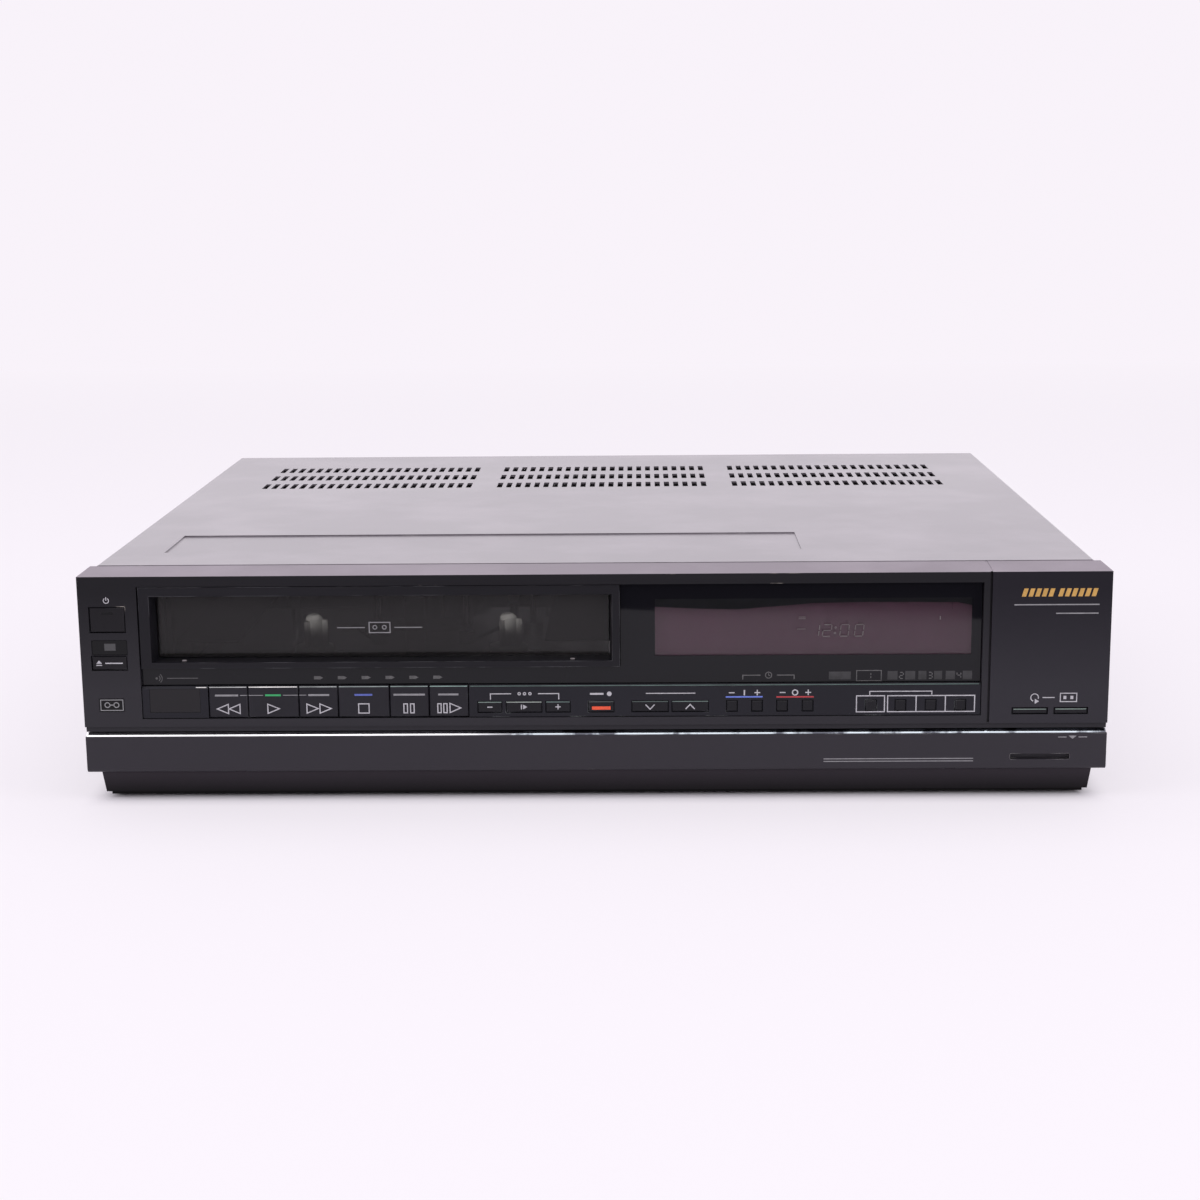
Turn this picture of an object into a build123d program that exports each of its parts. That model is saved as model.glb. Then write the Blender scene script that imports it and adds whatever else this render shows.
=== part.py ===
from build123d import *
import os
from math import acos, cos, degrees, hypot, radians, sin

# A front-loading video cassette recorder, built up from its separate pieces.
# Millimetres. +Z is up, the front faces -Y, and the origin is at the middle of
# the footprint, on the surface that the feet stand on.

os.makedirs("parts", exist_ok=True)

# ---------------------------------------------------------------- overall sizes
width = 430.0  # front bezel, side to side
depth = 360.0  # bezel face to the tips of the rear sockets
height = 99.0  # feet to the top of the steel cover
socket_reach = 11.0  # how far the sockets stand behind the rear panel
front_y = -depth / 2
back_depth = depth - socket_reach  # outer face of the rear panel, behind the face
left_edge = -width / 2
right_edge = width / 2

# -------------------------------------------------------- clearances and sheets
seat_gap = 0.3  # between pieces that come close without touching
shaft_gap = 0.08  # radial clearance of a turning or sliding pin
button_gap = 0.25  # all round a push button in its hole
plastic_wall = 2.5
steel_sheet = 1.0

# ---------------------------------------------------------- levels of the front
# Half of any change in height goes into the chin and the flap, half into the panel.
foot_height = 1.4
chin_top_z = height / 5 - 7.6
flap_bottom_z = chin_top_z + 0.3
flap_top_z = height / 2 - 21.25
ledge_z = flap_top_z + 1.95
panel_bottom_z = ledge_z + 2.4
panel_top_z = height - 1.8
bezel_back_z = height - 0.2  # the bezel's top slopes up to the cover
bezel_depth = 16.0
side_taper = 2.0  # the bezel's sides draw in by this much towards the cover
ledge_recess = 1.6

# -------------------------------------------- the one opening through the bezel
opening_left = left_edge + 24.7
opening_right = right_edge - 52.9
opening_bottom = panel_bottom_z + 3.4
opening_top = panel_top_z - 4.4
seam_x = opening_right + 2.5  # joint between the main bezel and the right-hand panel
seam_width = 1.0

# ------------------------------------------------------ cassette and its loading
cassette_width = 188.0
cassette_depth = 104.0
cassette_thickness = 25.0
slot_centre_x = opening_left + 101.65
slot_floor_z = opening_bottom + 24.9
reel_spacing = 92.0
reel_behind = 116.0
carriage_travel = 30.0
carriage_drop = 18.0
bay_front = 38.7  # front of the cassette bay, behind the bezel face

# --------------------------------------------------------------------- the deck
# The deck hangs a fixed way under the slot, which follows the cassette.
deck_z = slot_floor_z - 32.9
deck_thickness = 2.0
deck_top_z = deck_z + deck_thickness
deck_front = 45.0
deck_back = 254.0
deck_half = 103.0
deck_x = (slot_centre_x - deck_half, slot_centre_x + deck_half)


def block(x, behind, z, mode=Mode.ADD):
    """A block from (low, high) pairs: across, behind the bezel face, and up."""
    middle = (sum(x) / 2, front_y + sum(behind) / 2, sum(z) / 2)
    with Locations(middle):
        Box(x[1] - x[0], behind[1] - behind[0], z[1] - z[0], mode=mode)


def front_plane(behind):
    """A plane facing the user, its x across and its y up, behind the bezel face."""
    return Plane(origin=(0, front_y + behind, 0), x_dir=(1, 0, 0), z_dir=(0, -1, 0))


def side_plane(x):
    """A plane across the recorder: its x runs to the back and its y runs up."""
    return Plane(origin=(x, front_y, 0), x_dir=(0, 1, 0), z_dir=(1, 0, 0))


def upright(x, behind, z, radius, mode=Mode.ADD):
    """A round post or hole that stands upright over the pair z."""
    with BuildSketch(Plane.XY.offset(z[0])) as disc:
        with Locations((x, front_y + behind)):
            Circle(radius)
    extrude(disc.sketch, amount=z[1] - z[0], mode=mode)


def from_front(x, z, behind, radius, mode=Mode.ADD):
    """A round pin or hole that runs back over the pair behind."""
    with BuildSketch(front_plane(behind[0])) as disc:
        with Locations((x, z)):
            Circle(radius)
    extrude(disc.sketch, amount=behind[0] - behind[1], mode=mode)


def crosswise(x, behind, z, radius, mode=Mode.ADD):
    """A round pin or hole that runs across over the pair x."""
    with BuildSketch(side_plane(x[0])) as disc:
        with Locations((behind, z)):
            Circle(radius)
    extrude(disc.sketch, amount=x[1] - x[0], mode=mode)


# ======================================================================= base pan
# Moulded tray that carries everything: a tapered chin below, a wall inside the cover.
cover_half_width = width / 2 - 4.0
pan_half_width = cover_half_width - steel_sheet - seat_gap
pan_front = 3.5
pan_back = back_depth - steel_sheet
pan_wall_top = panel_bottom_z - 0.6
pan_draft = 1.2
lip_height = 1.6
lip_inset = 3.0
pan_floor_top = foot_height + plastic_wall
chin_bottom_z = foot_height + lip_height
foot_radius = 9.0
foot_x = width / 2 - 43.0
foot_behind = (42.0, back_depth - 31.0)
foot_spigot = 3.0
screw_shaft = 1.5
screw_hole = screw_shaft + 0.2
side_screw_z = 24.0
side_screws = (70.0, back_depth - 59.0)
rear_screw_z = 21.0
rear_screw_inset = 30.0
rear_screw_x = (left_edge + rear_screw_inset, 0.0, right_edge - rear_screw_inset)
deck_post_radius = 4.5
deck_post_x = deck_half - 11.0
deck_post_behind = (deck_front + 6.0, deck_back - 8.0)
board_x = (deck_x[1] + 9.65, right_edge - 11.0)
board_behind = (30.0, back_depth - 99.0)
board_z = 14.0
board_post_radius = 3.5
board_post_inset = 6.0
pan_vent_behind = back_depth - 59.0
pan_vent_groups = (-0.21 * width, 0.0, 0.19 * width)
pan_vent_columns = 5
pan_vent_pitch = 9.0
pan_vent_slot = (3.5, 30.0)

with BuildPart() as base_pan:
    pan_middle = front_y + (pan_front + pan_back) / 2
    with BuildSketch(Plane.XY.offset(chin_top_z)):
        with Locations((0, pan_middle)):
            Rectangle(2 * pan_half_width, pan_back - pan_front)
    with BuildSketch(Plane.XY.offset(chin_bottom_z)):
        with Locations((0, pan_middle)):
            Rectangle(
                2 * (pan_half_width - pan_draft), pan_back - pan_front - 2 * pan_draft
            )
    loft()
    lip_half = pan_half_width - lip_inset
    block(
        (-lip_half, lip_half),
        (pan_front + lip_inset, pan_back - lip_inset),
        (foot_height, chin_bottom_z),
    )
    block(
        (-pan_half_width, pan_half_width),
        (bezel_depth, pan_back),
        (chin_top_z, pan_wall_top),
    )
    inner_half = pan_half_width - pan_draft - plastic_wall
    block(
        (-inner_half, inner_half),
        (pan_front + pan_draft + plastic_wall, pan_back - pan_draft - plastic_wall),
        (pan_floor_top, chin_top_z),
        Mode.SUBTRACT,
    )
    wall_half = pan_half_width - plastic_wall
    block(
        (-wall_half, wall_half),
        (bezel_depth + plastic_wall, pan_back - plastic_wall),
        (chin_top_z, pan_wall_top),
        Mode.SUBTRACT,
    )
    for behind in deck_post_behind:
        for side in (-1, 1):
            spot = slot_centre_x + side * deck_post_x
            upright(spot, behind, (pan_floor_top, deck_z), deck_post_radius)
    for behind in (board_behind[0] + board_post_inset, board_behind[1] - board_post_inset):
        for spot in (board_x[0] + board_post_inset, board_x[1] - board_post_inset):
            upright(spot, behind, (pan_floor_top, board_z), board_post_radius)
    for behind in foot_behind:
        for side in (-1, 1):
            upright(
                side * foot_x,
                behind,
                (foot_height, pan_floor_top),
                foot_spigot + shaft_gap,
                Mode.SUBTRACT,
            )
    with BuildSketch(Plane.XY.offset(foot_height)):
        for group in pan_vent_groups:
            with Locations((group, front_y + pan_vent_behind)):
                with GridLocations(pan_vent_pitch, 1, pan_vent_columns, 1):
                    Rectangle(*pan_vent_slot)
    extrude(amount=plastic_wall, mode=Mode.SUBTRACT)
    for behind in side_screws:
        crosswise(
            (-pan_half_width, pan_half_width),
            behind,
            side_screw_z,
            screw_hole,
            Mode.SUBTRACT,
        )
    for spot in rear_screw_x:
        from_front(
            spot, rear_screw_z, (pan_back - plastic_wall, pan_back), screw_hole, Mode.SUBTRACT
        )
base_pan.part.label = "base_pan"
export_step(base_pan.part, "parts/base_pan.step")

# ============================================================================ feet
# Four rubber feet, each held in the floor of the pan by its spigot.
foot_chamfer = 0.8

with BuildPart() as feet:
    foot_spots = [
        (side * foot_x, front_y + behind) for side in (-1, 1) for behind in foot_behind
    ]
    with BuildSketch():
        with Locations(*foot_spots):
            Circle(foot_radius)
    extrude(amount=foot_height)
    chamfer(feet.edges().group_by(Axis.Z)[0], foot_chamfer)
    with BuildSketch(Plane.XY.offset(foot_height)):
        with Locations(*foot_spots):
            Circle(foot_spigot)
    extrude(amount=plastic_wall + foot_chamfer)
feet.part.label = "feet"
export_step(feet.part, "parts/feet.step")

# ======================================================================= top cover
# One steel sheet folded into a U, with three groups of vents near the back and a
# shallow pressed panel near the front.
cover_skirt_z = chin_top_z + 0.6
cover_corner = 1.6
cover_front = bezel_depth + 0.4
vent_columns = 23
vent_group_pitch = 2 * width / 7
vent_pitch = vent_group_pitch / (vent_columns + 2.33)
vent_slot = (2.7, 16.0)
vent_rows = (back_depth - 111.5, back_depth - 82.5, back_depth - 53.5)
vent_groups = (-vent_group_pitch, 0.0, vent_group_pitch)
pressed_x = (left_edge + 27.0, right_edge - 125.0)
pressed_behind = (45.5, 88.5)
pressed_depth = 0.6

with BuildPart() as top_cover:
    with BuildSketch(front_plane(back_depth)):
        for half, top, corner, mode in (
            (cover_half_width, height, cover_corner, Mode.ADD),
            (
                cover_half_width - steel_sheet,
                height - steel_sheet,
                cover_corner - steel_sheet,
                Mode.SUBTRACT,
            ),
        ):
            with BuildLine():
                FilletPolyline(
                    (-half, cover_skirt_z), (-half, top), (half, top), (half, cover_skirt_z),
                    radius=corner,
                )
                Line((half, cover_skirt_z), (-half, cover_skirt_z))
            make_face(mode=mode)
    extrude(amount=back_depth - cover_front)
    block(
        (pressed_x[0] - steel_sheet, pressed_x[1] + steel_sheet),
        (pressed_behind[0] - steel_sheet, pressed_behind[1] + steel_sheet),
        (height - steel_sheet - pressed_depth, height - steel_sheet),
    )
    block(pressed_x, pressed_behind, (height - pressed_depth, height), Mode.SUBTRACT)
    with BuildSketch(Plane.XY.offset(height)):
        for group in vent_groups:
            for row in vent_rows:
                with Locations((group, front_y + row)):
                    with GridLocations(vent_pitch, 1, vent_columns, 1):
                        Rectangle(*vent_slot)
    extrude(amount=-steel_sheet, mode=Mode.SUBTRACT)
    for behind in side_screws:
        crosswise(
            (-cover_half_width, cover_half_width),
            behind,
            side_screw_z,
            screw_hole,
            Mode.SUBTRACT,
        )
top_cover.part.label = "top_cover"
export_step(top_cover.part, "parts/top_cover.step")

# ========================================================================== screws
# Cross-head screws: two through each side of the cover, three through the back.
screw_head_radius = 3.4
screw_head_height = 2.0
screw_length = 6.0
screw_cross = (3.4, 0.7)
screw_cross_depth = 1.1

with BuildPart() as screw_blank:
    Cylinder(
        screw_head_radius, screw_head_height, align=(Align.CENTER, Align.CENTER, Align.MIN)
    )
    Cylinder(screw_shaft, screw_length, align=(Align.CENTER, Align.CENTER, Align.MAX))
    with BuildSketch(Plane.XY.offset(screw_head_height)):
        Rectangle(*screw_cross)
        Rectangle(*reversed(screw_cross))
    extrude(amount=-screw_cross_depth, mode=Mode.SUBTRACT)

with BuildPart() as cover_screws:
    seats = [
        Plane(
            origin=(side * cover_half_width, front_y + behind, side_screw_z),
            z_dir=(side, 0, 0),
        )
        for side in (-1, 1)
        for behind in side_screws
    ] + [
        Plane(origin=(spot, front_y + back_depth, rear_screw_z), z_dir=(0, 1, 0))
        for spot in rear_screw_x
    ]
    for seat in seats:
        add(seat.location * screw_blank.part)
cover_screws.part.label = "cover_screws"
export_step(cover_screws.part, "parts/cover_screws.step")

# ==================================================================== rear sockets
# Positions shared by the rear panel and by the sockets that look out through it.
jack_x = (left_edge + 65.0, left_edge + 87.0)
jack_z = (pan_wall_top + 12.0, pan_wall_top + 34.0)
jack_sleeve = 4.15
jack_hole = 1.7
jack_base = 7.0
jack_block_depth = 14.0
jack_body = 21.0
tuner_x = (right_edge - 195.0, right_edge - 123.0)
tuner_z = (pan_wall_top + 12.0, pan_wall_top + 38.0)
tuner_depth = 52.0
aerial_x = (tuner_x[0] + 20.0, tuner_x[0] + 50.0)
aerial_z = sum(tuner_z) / 2
aerial_sleeve = 4.76
aerial_nut = 6.5
aerial_nut_depth = 2.0
aerial_hole = 1.5
inlet_x = (right_edge - 51.0, right_edge - 25.0)
inlet_z = (pan_wall_top + 2.0, pan_wall_top + 18.0)
inlet_recess = (19.0, 9.0)
inlet_recess_depth = 13.0
inlet_body_depth = 20.0
inlet_rim = 2.0
inlet_pin_radius = 1.2
inlet_pin_spacing = 8.6

# ====================================================================== rear panel
# Plain steel sheet that closes the back, cut out for the sockets and the mains inlet.
rear_panel_z = (chin_top_z + seat_gap, height - steel_sheet - seat_gap)
rear_vent_x = (jack_x[1] + 58.0, jack_x[1] + 118.0)
rear_vent_z = pan_wall_top + 28.0
rear_vent_columns = 8
rear_vent_pitch = 6.0
rear_vent_slot = (3.0, 36.0)

with BuildPart() as rear_panel:
    block((-pan_half_width, pan_half_width), (pan_back, back_depth), rear_panel_z)
    for spot in rear_screw_x:
        from_front(spot, rear_screw_z, (pan_back, back_depth), screw_hole, Mode.SUBTRACT)
    for x in jack_x:
        for z in jack_z:
            from_front(x, z, (pan_back, back_depth), jack_base + seat_gap, Mode.SUBTRACT)
    for x in aerial_x:
        from_front(
            x, aerial_z, (pan_back, back_depth), aerial_sleeve + seat_gap, Mode.SUBTRACT
        )
    block(
        (inlet_x[0] - seat_gap, inlet_x[1] + seat_gap),
        (pan_back, back_depth),
        (inlet_z[0] - seat_gap, inlet_z[1] + seat_gap),
        Mode.SUBTRACT,
    )
    with BuildSketch(front_plane(back_depth)):
        for x in rear_vent_x:
            with Locations((x, rear_vent_z)):
                with GridLocations(rear_vent_pitch, 1, rear_vent_columns, 1):
                    Rectangle(*rear_vent_slot)
    extrude(amount=steel_sheet, mode=Mode.SUBTRACT)
rear_panel.part.label = "rear_panel"
export_step(rear_panel.part, "parts/rear_panel.step")

# ======================================================================== AV jacks
# Four phono sockets, each a square moulding against the inside of the rear panel.
jack_half = jack_body / 2

with BuildPart() as av_jacks:
    for x in jack_x:
        for z in jack_z:
            block(
                (x - jack_half, x + jack_half),
                (pan_back - jack_block_depth, pan_back),
                (z - jack_half, z + jack_half),
            )
            from_front(x, z, (pan_back, back_depth + 2.0), jack_base)
            from_front(x, z, (back_depth, depth), jack_sleeve)
            from_front(x, z, (back_depth - 4.0, depth), jack_hole, Mode.SUBTRACT)
av_jacks.part.label = "av_jacks"
export_step(av_jacks.part, "parts/av_jacks.step")

# ======================================================================= tuner box
# Tinned screening can of the tuner, with the aerial input and output barrels.
with BuildPart() as tuner_box:
    block(tuner_x, (pan_back - tuner_depth, pan_back), tuner_z)
    edges_up = tuner_box.edges().filter_by(Axis.Z)
    chamfer(edges_up, 1.0)
    block(
        (tuner_x[0] + 3.0, tuner_x[1] - 3.0),
        (pan_back - tuner_depth + 3.0, pan_back - 3.0),
        (tuner_z[1], tuner_z[1] + 0.8),
    )
    for x in aerial_x:
        from_front(x, aerial_z, (pan_back, depth), aerial_sleeve)
        from_front(x, aerial_z, (back_depth, back_depth + aerial_nut_depth), aerial_nut)
        from_front(x, aerial_z, (back_depth, depth), aerial_hole, Mode.SUBTRACT)
tuner_box.part.label = "tuner_box"
export_step(tuner_box.part, "parts/tuner_box.step")

# ===================================================================== mains inlet
# Two-pin appliance inlet, clipped through the rear panel; its cord is a separate thing.
with BuildPart() as mains_inlet:
    block(inlet_x, (pan_back - inlet_body_depth, back_depth), inlet_z)
    block(
        (inlet_x[0] - inlet_rim, inlet_x[1] + inlet_rim),
        (back_depth, back_depth + inlet_rim),
        (inlet_z[0] - inlet_rim, inlet_z[1] + inlet_rim),
    )
    inlet_mid_x = sum(inlet_x) / 2
    inlet_mid_z = sum(inlet_z) / 2
    with BuildSketch(front_plane(back_depth + inlet_rim)):
        with Locations((inlet_mid_x, inlet_mid_z)):
            SlotOverall(*inlet_recess)
    extrude(amount=inlet_recess_depth, mode=Mode.SUBTRACT)
    pin_root = back_depth + inlet_rim - inlet_recess_depth
    for side in (-1, 1):
        from_front(
            inlet_mid_x + side * inlet_pin_spacing / 2,
            inlet_mid_z,
            (pin_root - 2.0, back_depth),
            inlet_pin_radius,
        )
mains_inlet.part.label = "mains_inlet"
export_step(mains_inlet.part, "parts/mains_inlet.step")

# ============================================================ push buttons: layout
# Every button is a cap, a retaining flange behind the wall, and a stem that reaches
# back to a switch on the front board.
button_travel = 1.2
cap_face = 0.2
cap_depth = 4.0
cap_round = 0.4
flange_reach = 0.6
flange_depth = 0.9
small_stem = 1.2  # half the side of the square stem
key_stem = 2.0
key_gap = 0.4
key_z = (opening_bottom + 0.5, opening_bottom + 13.9)
front_board_behind = 17.5
front_board_thickness = 1.6
switch_height = 1.8
switch_size = 4.0
stem_end = front_board_behind - switch_height - button_travel - 0.1
key_names = ("rewind_key", "play_key", "fast_forward_key", "stop_key", "pause_key",
             "frame_advance_key")
key_widths = (16.6, 21.4, 16.6, 21.7, 16.6, 16.6)
keys_left = opening_left + 28.3
key_edges = [keys_left + sum(key_widths[:count]) for count in range(len(key_widths) + 1)]
row_z = (opening_bottom + 2.2, opening_bottom + 6.8)
# The small buttons share out what is left of the row: how far each one starts from
# the keys, and its width, while the row is as long as row_length.
row_length = 214.6
row_stretch = (opening_right - key_edges[-1]) / row_length
row_layout = {
    "slow_minus_button": (3.9, 10.0),
    "slow_play_button": (15.8, 14.9),
    "slow_plus_button": (32.5, 10.1),
    "record_button": (50.4, 10.6),
    "channel_down_button": (68.6, 15.2),
    "channel_up_button": (85.4, 15.2),
    "on_minus_button": (108.3, 4.4),
    "on_plus_button": (118.8, 4.4),
    "off_minus_button": (129.3, 4.4),
    "off_plus_button": (140.0, 4.4),
    "select_button_1": (166.5, 4.4),
    "select_button_2": (178.8, 4.4),
    "select_button_3": (191.4, 4.4),
    "select_button_4": (203.8, 4.4),
}
row_buttons = {
    name: (
        key_edges[-1] + start * row_stretch,
        key_edges[-1] + (start + cap) * row_stretch,
    )
    for name, (start, cap) in row_layout.items()
}
left_button_x = (left_edge + 4.6, left_edge + 19.4)
left_buttons = {
    "power_button": (left_button_x, (panel_top_z - 23.7, panel_top_z - 13.0)),
    "eject_button": (left_button_x, (panel_top_z - 39.9, panel_top_z - 33.9)),
}
right_button_z = (panel_bottom_z + 4.0, panel_bottom_z + 6.6)
right_buttons = {
    "reset_button": ((right_edge - 39.9, right_edge - 25.2), right_button_z),
    "memory_button": ((right_edge - 22.4, right_edge - 8.5), right_button_z),
}
row_stem_z = sum(row_z) / 2
key_stem_z = sum(key_z) / 2
switch_spots = (
    [((low + high) / 2, key_stem_z) for low, high in zip(key_edges, key_edges[1:])]
    + [(sum(x) / 2, row_stem_z) for x in row_buttons.values()]
    + [(sum(x) / 2, sum(z) / 2) for x, z in left_buttons.values()]
    + [(sum(x) / 2, sum(z) / 2) for x, z in right_buttons.values()]
)


def button_hole(x, z, behind):
    """A clearance hole for a button through the wall that lies over behind."""
    block(
        (x[0] - button_gap, x[1] + button_gap),
        behind,
        (z[0] - button_gap, z[1] + button_gap),
        Mode.SUBTRACT,
    )


def stem(x, z, behind, half, mode=Mode.ADD):
    """A square stem of a button, or its guide hole, centred on x and z."""
    block((x - half, x + half), behind, (z - half, z + half), mode)


def narrowing_side(side):
    """Cuts the slope on one side of the bezel, from its face back to the cover."""
    half = width / 2
    with BuildSketch() as wedge:
        with BuildLine():
            Polyline(
                (side * half, front_y),
                (side * (half + side_taper), front_y),
                (side * (half + side_taper), front_y + bezel_depth),
                (side * (half - side_taper), front_y + bezel_depth),
                close=True,
            )
        make_face()
    extrude(wedge.sketch, amount=height, mode=Mode.SUBTRACT)


# ======================================================================= main bezel
# Moulded front: the upper panel with its one long opening and, clipped under its ledge,
# a tray that makes the shelf, cheeks and back wall of the pocket behind the flap.
panel_wall_z = (panel_bottom_z + plastic_wall, panel_top_z - plastic_wall)
cavity_back = 14.0
shelf_front = 4.5
shelf_thickness = 1.8
tray_top_z = ledge_z - seat_gap
flap_thickness = 4.0
hinge_behind = flap_thickness / 2  # axis of the flap's hinge
hinge_z = flap_bottom_z + hinge_behind
hinge_pin = 0.65
hinge_ears = (left_edge + 65.0, 0.0, right_edge - 65.0)
ear_width = 4.0
ear_round = 1.1
bezel_post_radius = 2.5
bezel_post_x = left_edge + 12.0
bezel_posts = ((bezel_post_x, panel_bottom_z + 17.9), (bezel_post_x, panel_top_z - 7.2))
low_tabs = (opening_left + 14.3, slot_centre_x + 100.65, opening_right - 57.1, seam_x + 7.4)
low_tab_top = panel_bottom_z + 5.4
high_tabs = (opening_right - 102.1, opening_right - 22.1)
high_tab_bottom = panel_top_z - 7.2
tab_width = 5.0
lens_x = (left_edge + 4.8, left_edge + 19.9)
lens_z = (panel_top_z - 33.5, panel_top_z - 27.0)
lens_depth = 0.5
badge_x = (left_edge + 6.6, left_edge + 17.4)
badge_z = (panel_bottom_z + 6.6, panel_bottom_z + 12.5)
badge_depth = 0.3
knob_x = left_edge + 155.0
knob_z = (chin_top_z + shelf_thickness + ledge_z) / 2
knob_shaft = 2.0

with BuildPart() as front_bezel:
    with BuildSketch(side_plane(-width / 2)):
        with BuildLine():
            Polyline(
                (0, panel_bottom_z),
                (0, panel_top_z),
                (bezel_depth, bezel_back_z),
                (bezel_depth, ledge_z),
                (ledge_recess, ledge_z),
                (ledge_recess, panel_bottom_z),
                close=True,
            )
        make_face()
    extrude(amount=seam_x + width / 2)
    with BuildSketch(side_plane(plastic_wall - width / 2)):
        with BuildLine():
            Polyline(
                (plastic_wall, panel_wall_z[0]),
                (plastic_wall, panel_wall_z[1]),
                (bezel_depth, panel_wall_z[1] + bezel_back_z - panel_top_z),
                (bezel_depth, panel_wall_z[0]),
                close=True,
            )
        make_face()
    extrude(amount=opening_right + width / 2 - plastic_wall, mode=Mode.SUBTRACT)
    block(
        (seam_x, seam_x + seam_width),
        (ledge_recess, bezel_depth),
        (panel_bottom_z, panel_top_z),
    )
    block((-width / 2, width / 2), (shelf_front, bezel_depth), (chin_top_z, tray_top_z))
    block(
        (seam_x, width / 2),
        (ledge_recess, bezel_depth),
        (ledge_z, panel_bottom_z - seat_gap),
    )
    block(
        (plastic_wall - width / 2, width / 2 - plastic_wall),
        (shelf_front, cavity_back),
        (chin_top_z + shelf_thickness, tray_top_z),
        Mode.SUBTRACT,
    )
    block(
        (opening_left, opening_right),
        (0, plastic_wall),
        (opening_bottom, opening_top),
        Mode.SUBTRACT,
    )
    for ear in hinge_ears:
        with BuildSketch(side_plane(ear - ear_width / 2)):
            with Locations((hinge_behind, hinge_z)):
                Circle(ear_round)
            with Locations(((hinge_behind + shelf_front + 1.0) / 2, hinge_z)):
                Rectangle(shelf_front + 1.0 - hinge_behind, 2 * ear_round)
        extrude(amount=ear_width)
        crosswise(
            (ear - ear_width / 2, ear + ear_width / 2),
            hinge_behind,
            hinge_z,
            hinge_pin + shaft_gap,
            Mode.SUBTRACT,
        )
    for x, z in left_buttons.values():
        button_hole(x, z, (0, plastic_wall))
    block(lens_x, (0, lens_depth), lens_z, Mode.SUBTRACT)
    block(badge_x, (0, badge_depth), badge_z, Mode.SUBTRACT)
    for x, z in bezel_posts:
        from_front(x, z, (plastic_wall, front_board_behind), bezel_post_radius)
    for x in low_tabs:
        tab = (x - tab_width / 2, x + tab_width / 2)
        block(tab, (cavity_back, bezel_depth), (ledge_z, panel_bottom_z))
        block(tab, (cavity_back, front_board_behind), (panel_bottom_z, low_tab_top))
    for x in high_tabs:
        block(
            (x - tab_width / 2, x + tab_width / 2),
            (cavity_back, front_board_behind),
            (high_tab_bottom, panel_wall_z[1] + bezel_back_z - panel_top_z),
        )
    from_front(knob_x, knob_z, (cavity_back, bezel_depth), knob_shaft + shaft_gap, Mode.SUBTRACT)
    for side in (-1, 1):
        narrowing_side(side)
front_bezel.part.label = "front_bezel"
export_step(front_bezel.part, "parts/front_bezel.step")

# ================================================================ right-hand panel
# Separate moulding to the right of the seam, with the two counter buttons low down.
right_x = (seam_x + seam_width, width / 2)
right_rib = 1.5

with BuildPart() as right_panel:
    with BuildSketch(side_plane(right_x[0])):
        with BuildLine():
            Polyline(
                (0, panel_bottom_z),
                (0, panel_top_z),
                (bezel_depth, bezel_back_z),
                (bezel_depth, panel_bottom_z),
                close=True,
            )
        make_face()
    extrude(amount=right_x[1] - right_x[0])
    with BuildSketch(side_plane(right_x[0] + right_rib)):
        with BuildLine():
            Polyline(
                (plastic_wall, panel_wall_z[0]),
                (plastic_wall, panel_wall_z[1]),
                (bezel_depth, panel_wall_z[1] + bezel_back_z - panel_top_z),
                (bezel_depth, panel_wall_z[0]),
                close=True,
            )
        make_face()
    extrude(amount=right_x[1] - right_x[0] - right_rib - plastic_wall, mode=Mode.SUBTRACT)
    for x, z in right_buttons.values():
        button_hole(x, z, (0, plastic_wall))
    block(
        (low_tabs[-1] - tab_width / 2 - seat_gap, low_tabs[-1] + tab_width / 2 + seat_gap),
        (cavity_back - seat_gap, bezel_depth),
        (panel_bottom_z, panel_wall_z[0]),
        Mode.SUBTRACT,
    )
    narrowing_side(1)
right_panel.part.label = "right_panel"
export_step(right_panel.part, "parts/right_panel.step")

# =================================================================== push buttons
# One piece per button, each its own body; the six transport keys are the tall ones.
for name, low, high in zip(key_names, key_edges, key_edges[1:]):
    with BuildPart() as key:
        block(
            (low + key_gap / 2, high - key_gap / 2), (cap_face, cap_face + cap_depth), key_z
        )
        chamfer(key.faces().sort_by(Axis.Y)[0].edges(), cap_round)
        stem((low + high) / 2, key_stem_z, (cap_face + cap_depth, stem_end), key_stem)
    key.part.label = name
    export_step(key.part, f"parts/{name}.step")

wall_buttons = {name: (x, row_z) for name, x in row_buttons.items()}
wall_buttons.update(left_buttons)
wall_buttons.update(right_buttons)

for name, (x, z) in wall_buttons.items():
    with BuildPart() as button:
        block(x, (cap_face, cap_face + cap_depth), z)
        chamfer(button.faces().sort_by(Axis.Y)[0].edges(), cap_round)
        block(
            (x[0] - flange_reach, x[1] + flange_reach),
            (cap_face + cap_depth - flange_depth, cap_face + cap_depth),
            (z[0] - flange_reach, z[1] + flange_reach),
        )
        stem(sum(x) / 2, sum(z) / 2, (cap_face + cap_depth, stem_end), small_stem)
    button.part.label = name
    export_step(button.part, f"parts/{name}.step")

# ======================================================================= key panel
# Long strip under the display: a face with holes for the buttons, and a guide wall
# behind it whose square holes carry the stems.
key_panel_x = (opening_left + seat_gap, opening_right - seat_gap)
key_panel_z = (opening_bottom + seat_gap, key_z[1])
key_face = 0.4
key_face_depth = 2.4
guide_wall = (6.6, 8.1)
key_bevel = 0.9
panel_lip_z = panel_wall_z[0]
sensor_x = (opening_left + 3.3, opening_left + 24.7)
sensor_z = (opening_bottom + 2.7, opening_bottom + 13.0)
sensor_ledge = 0.8

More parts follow.
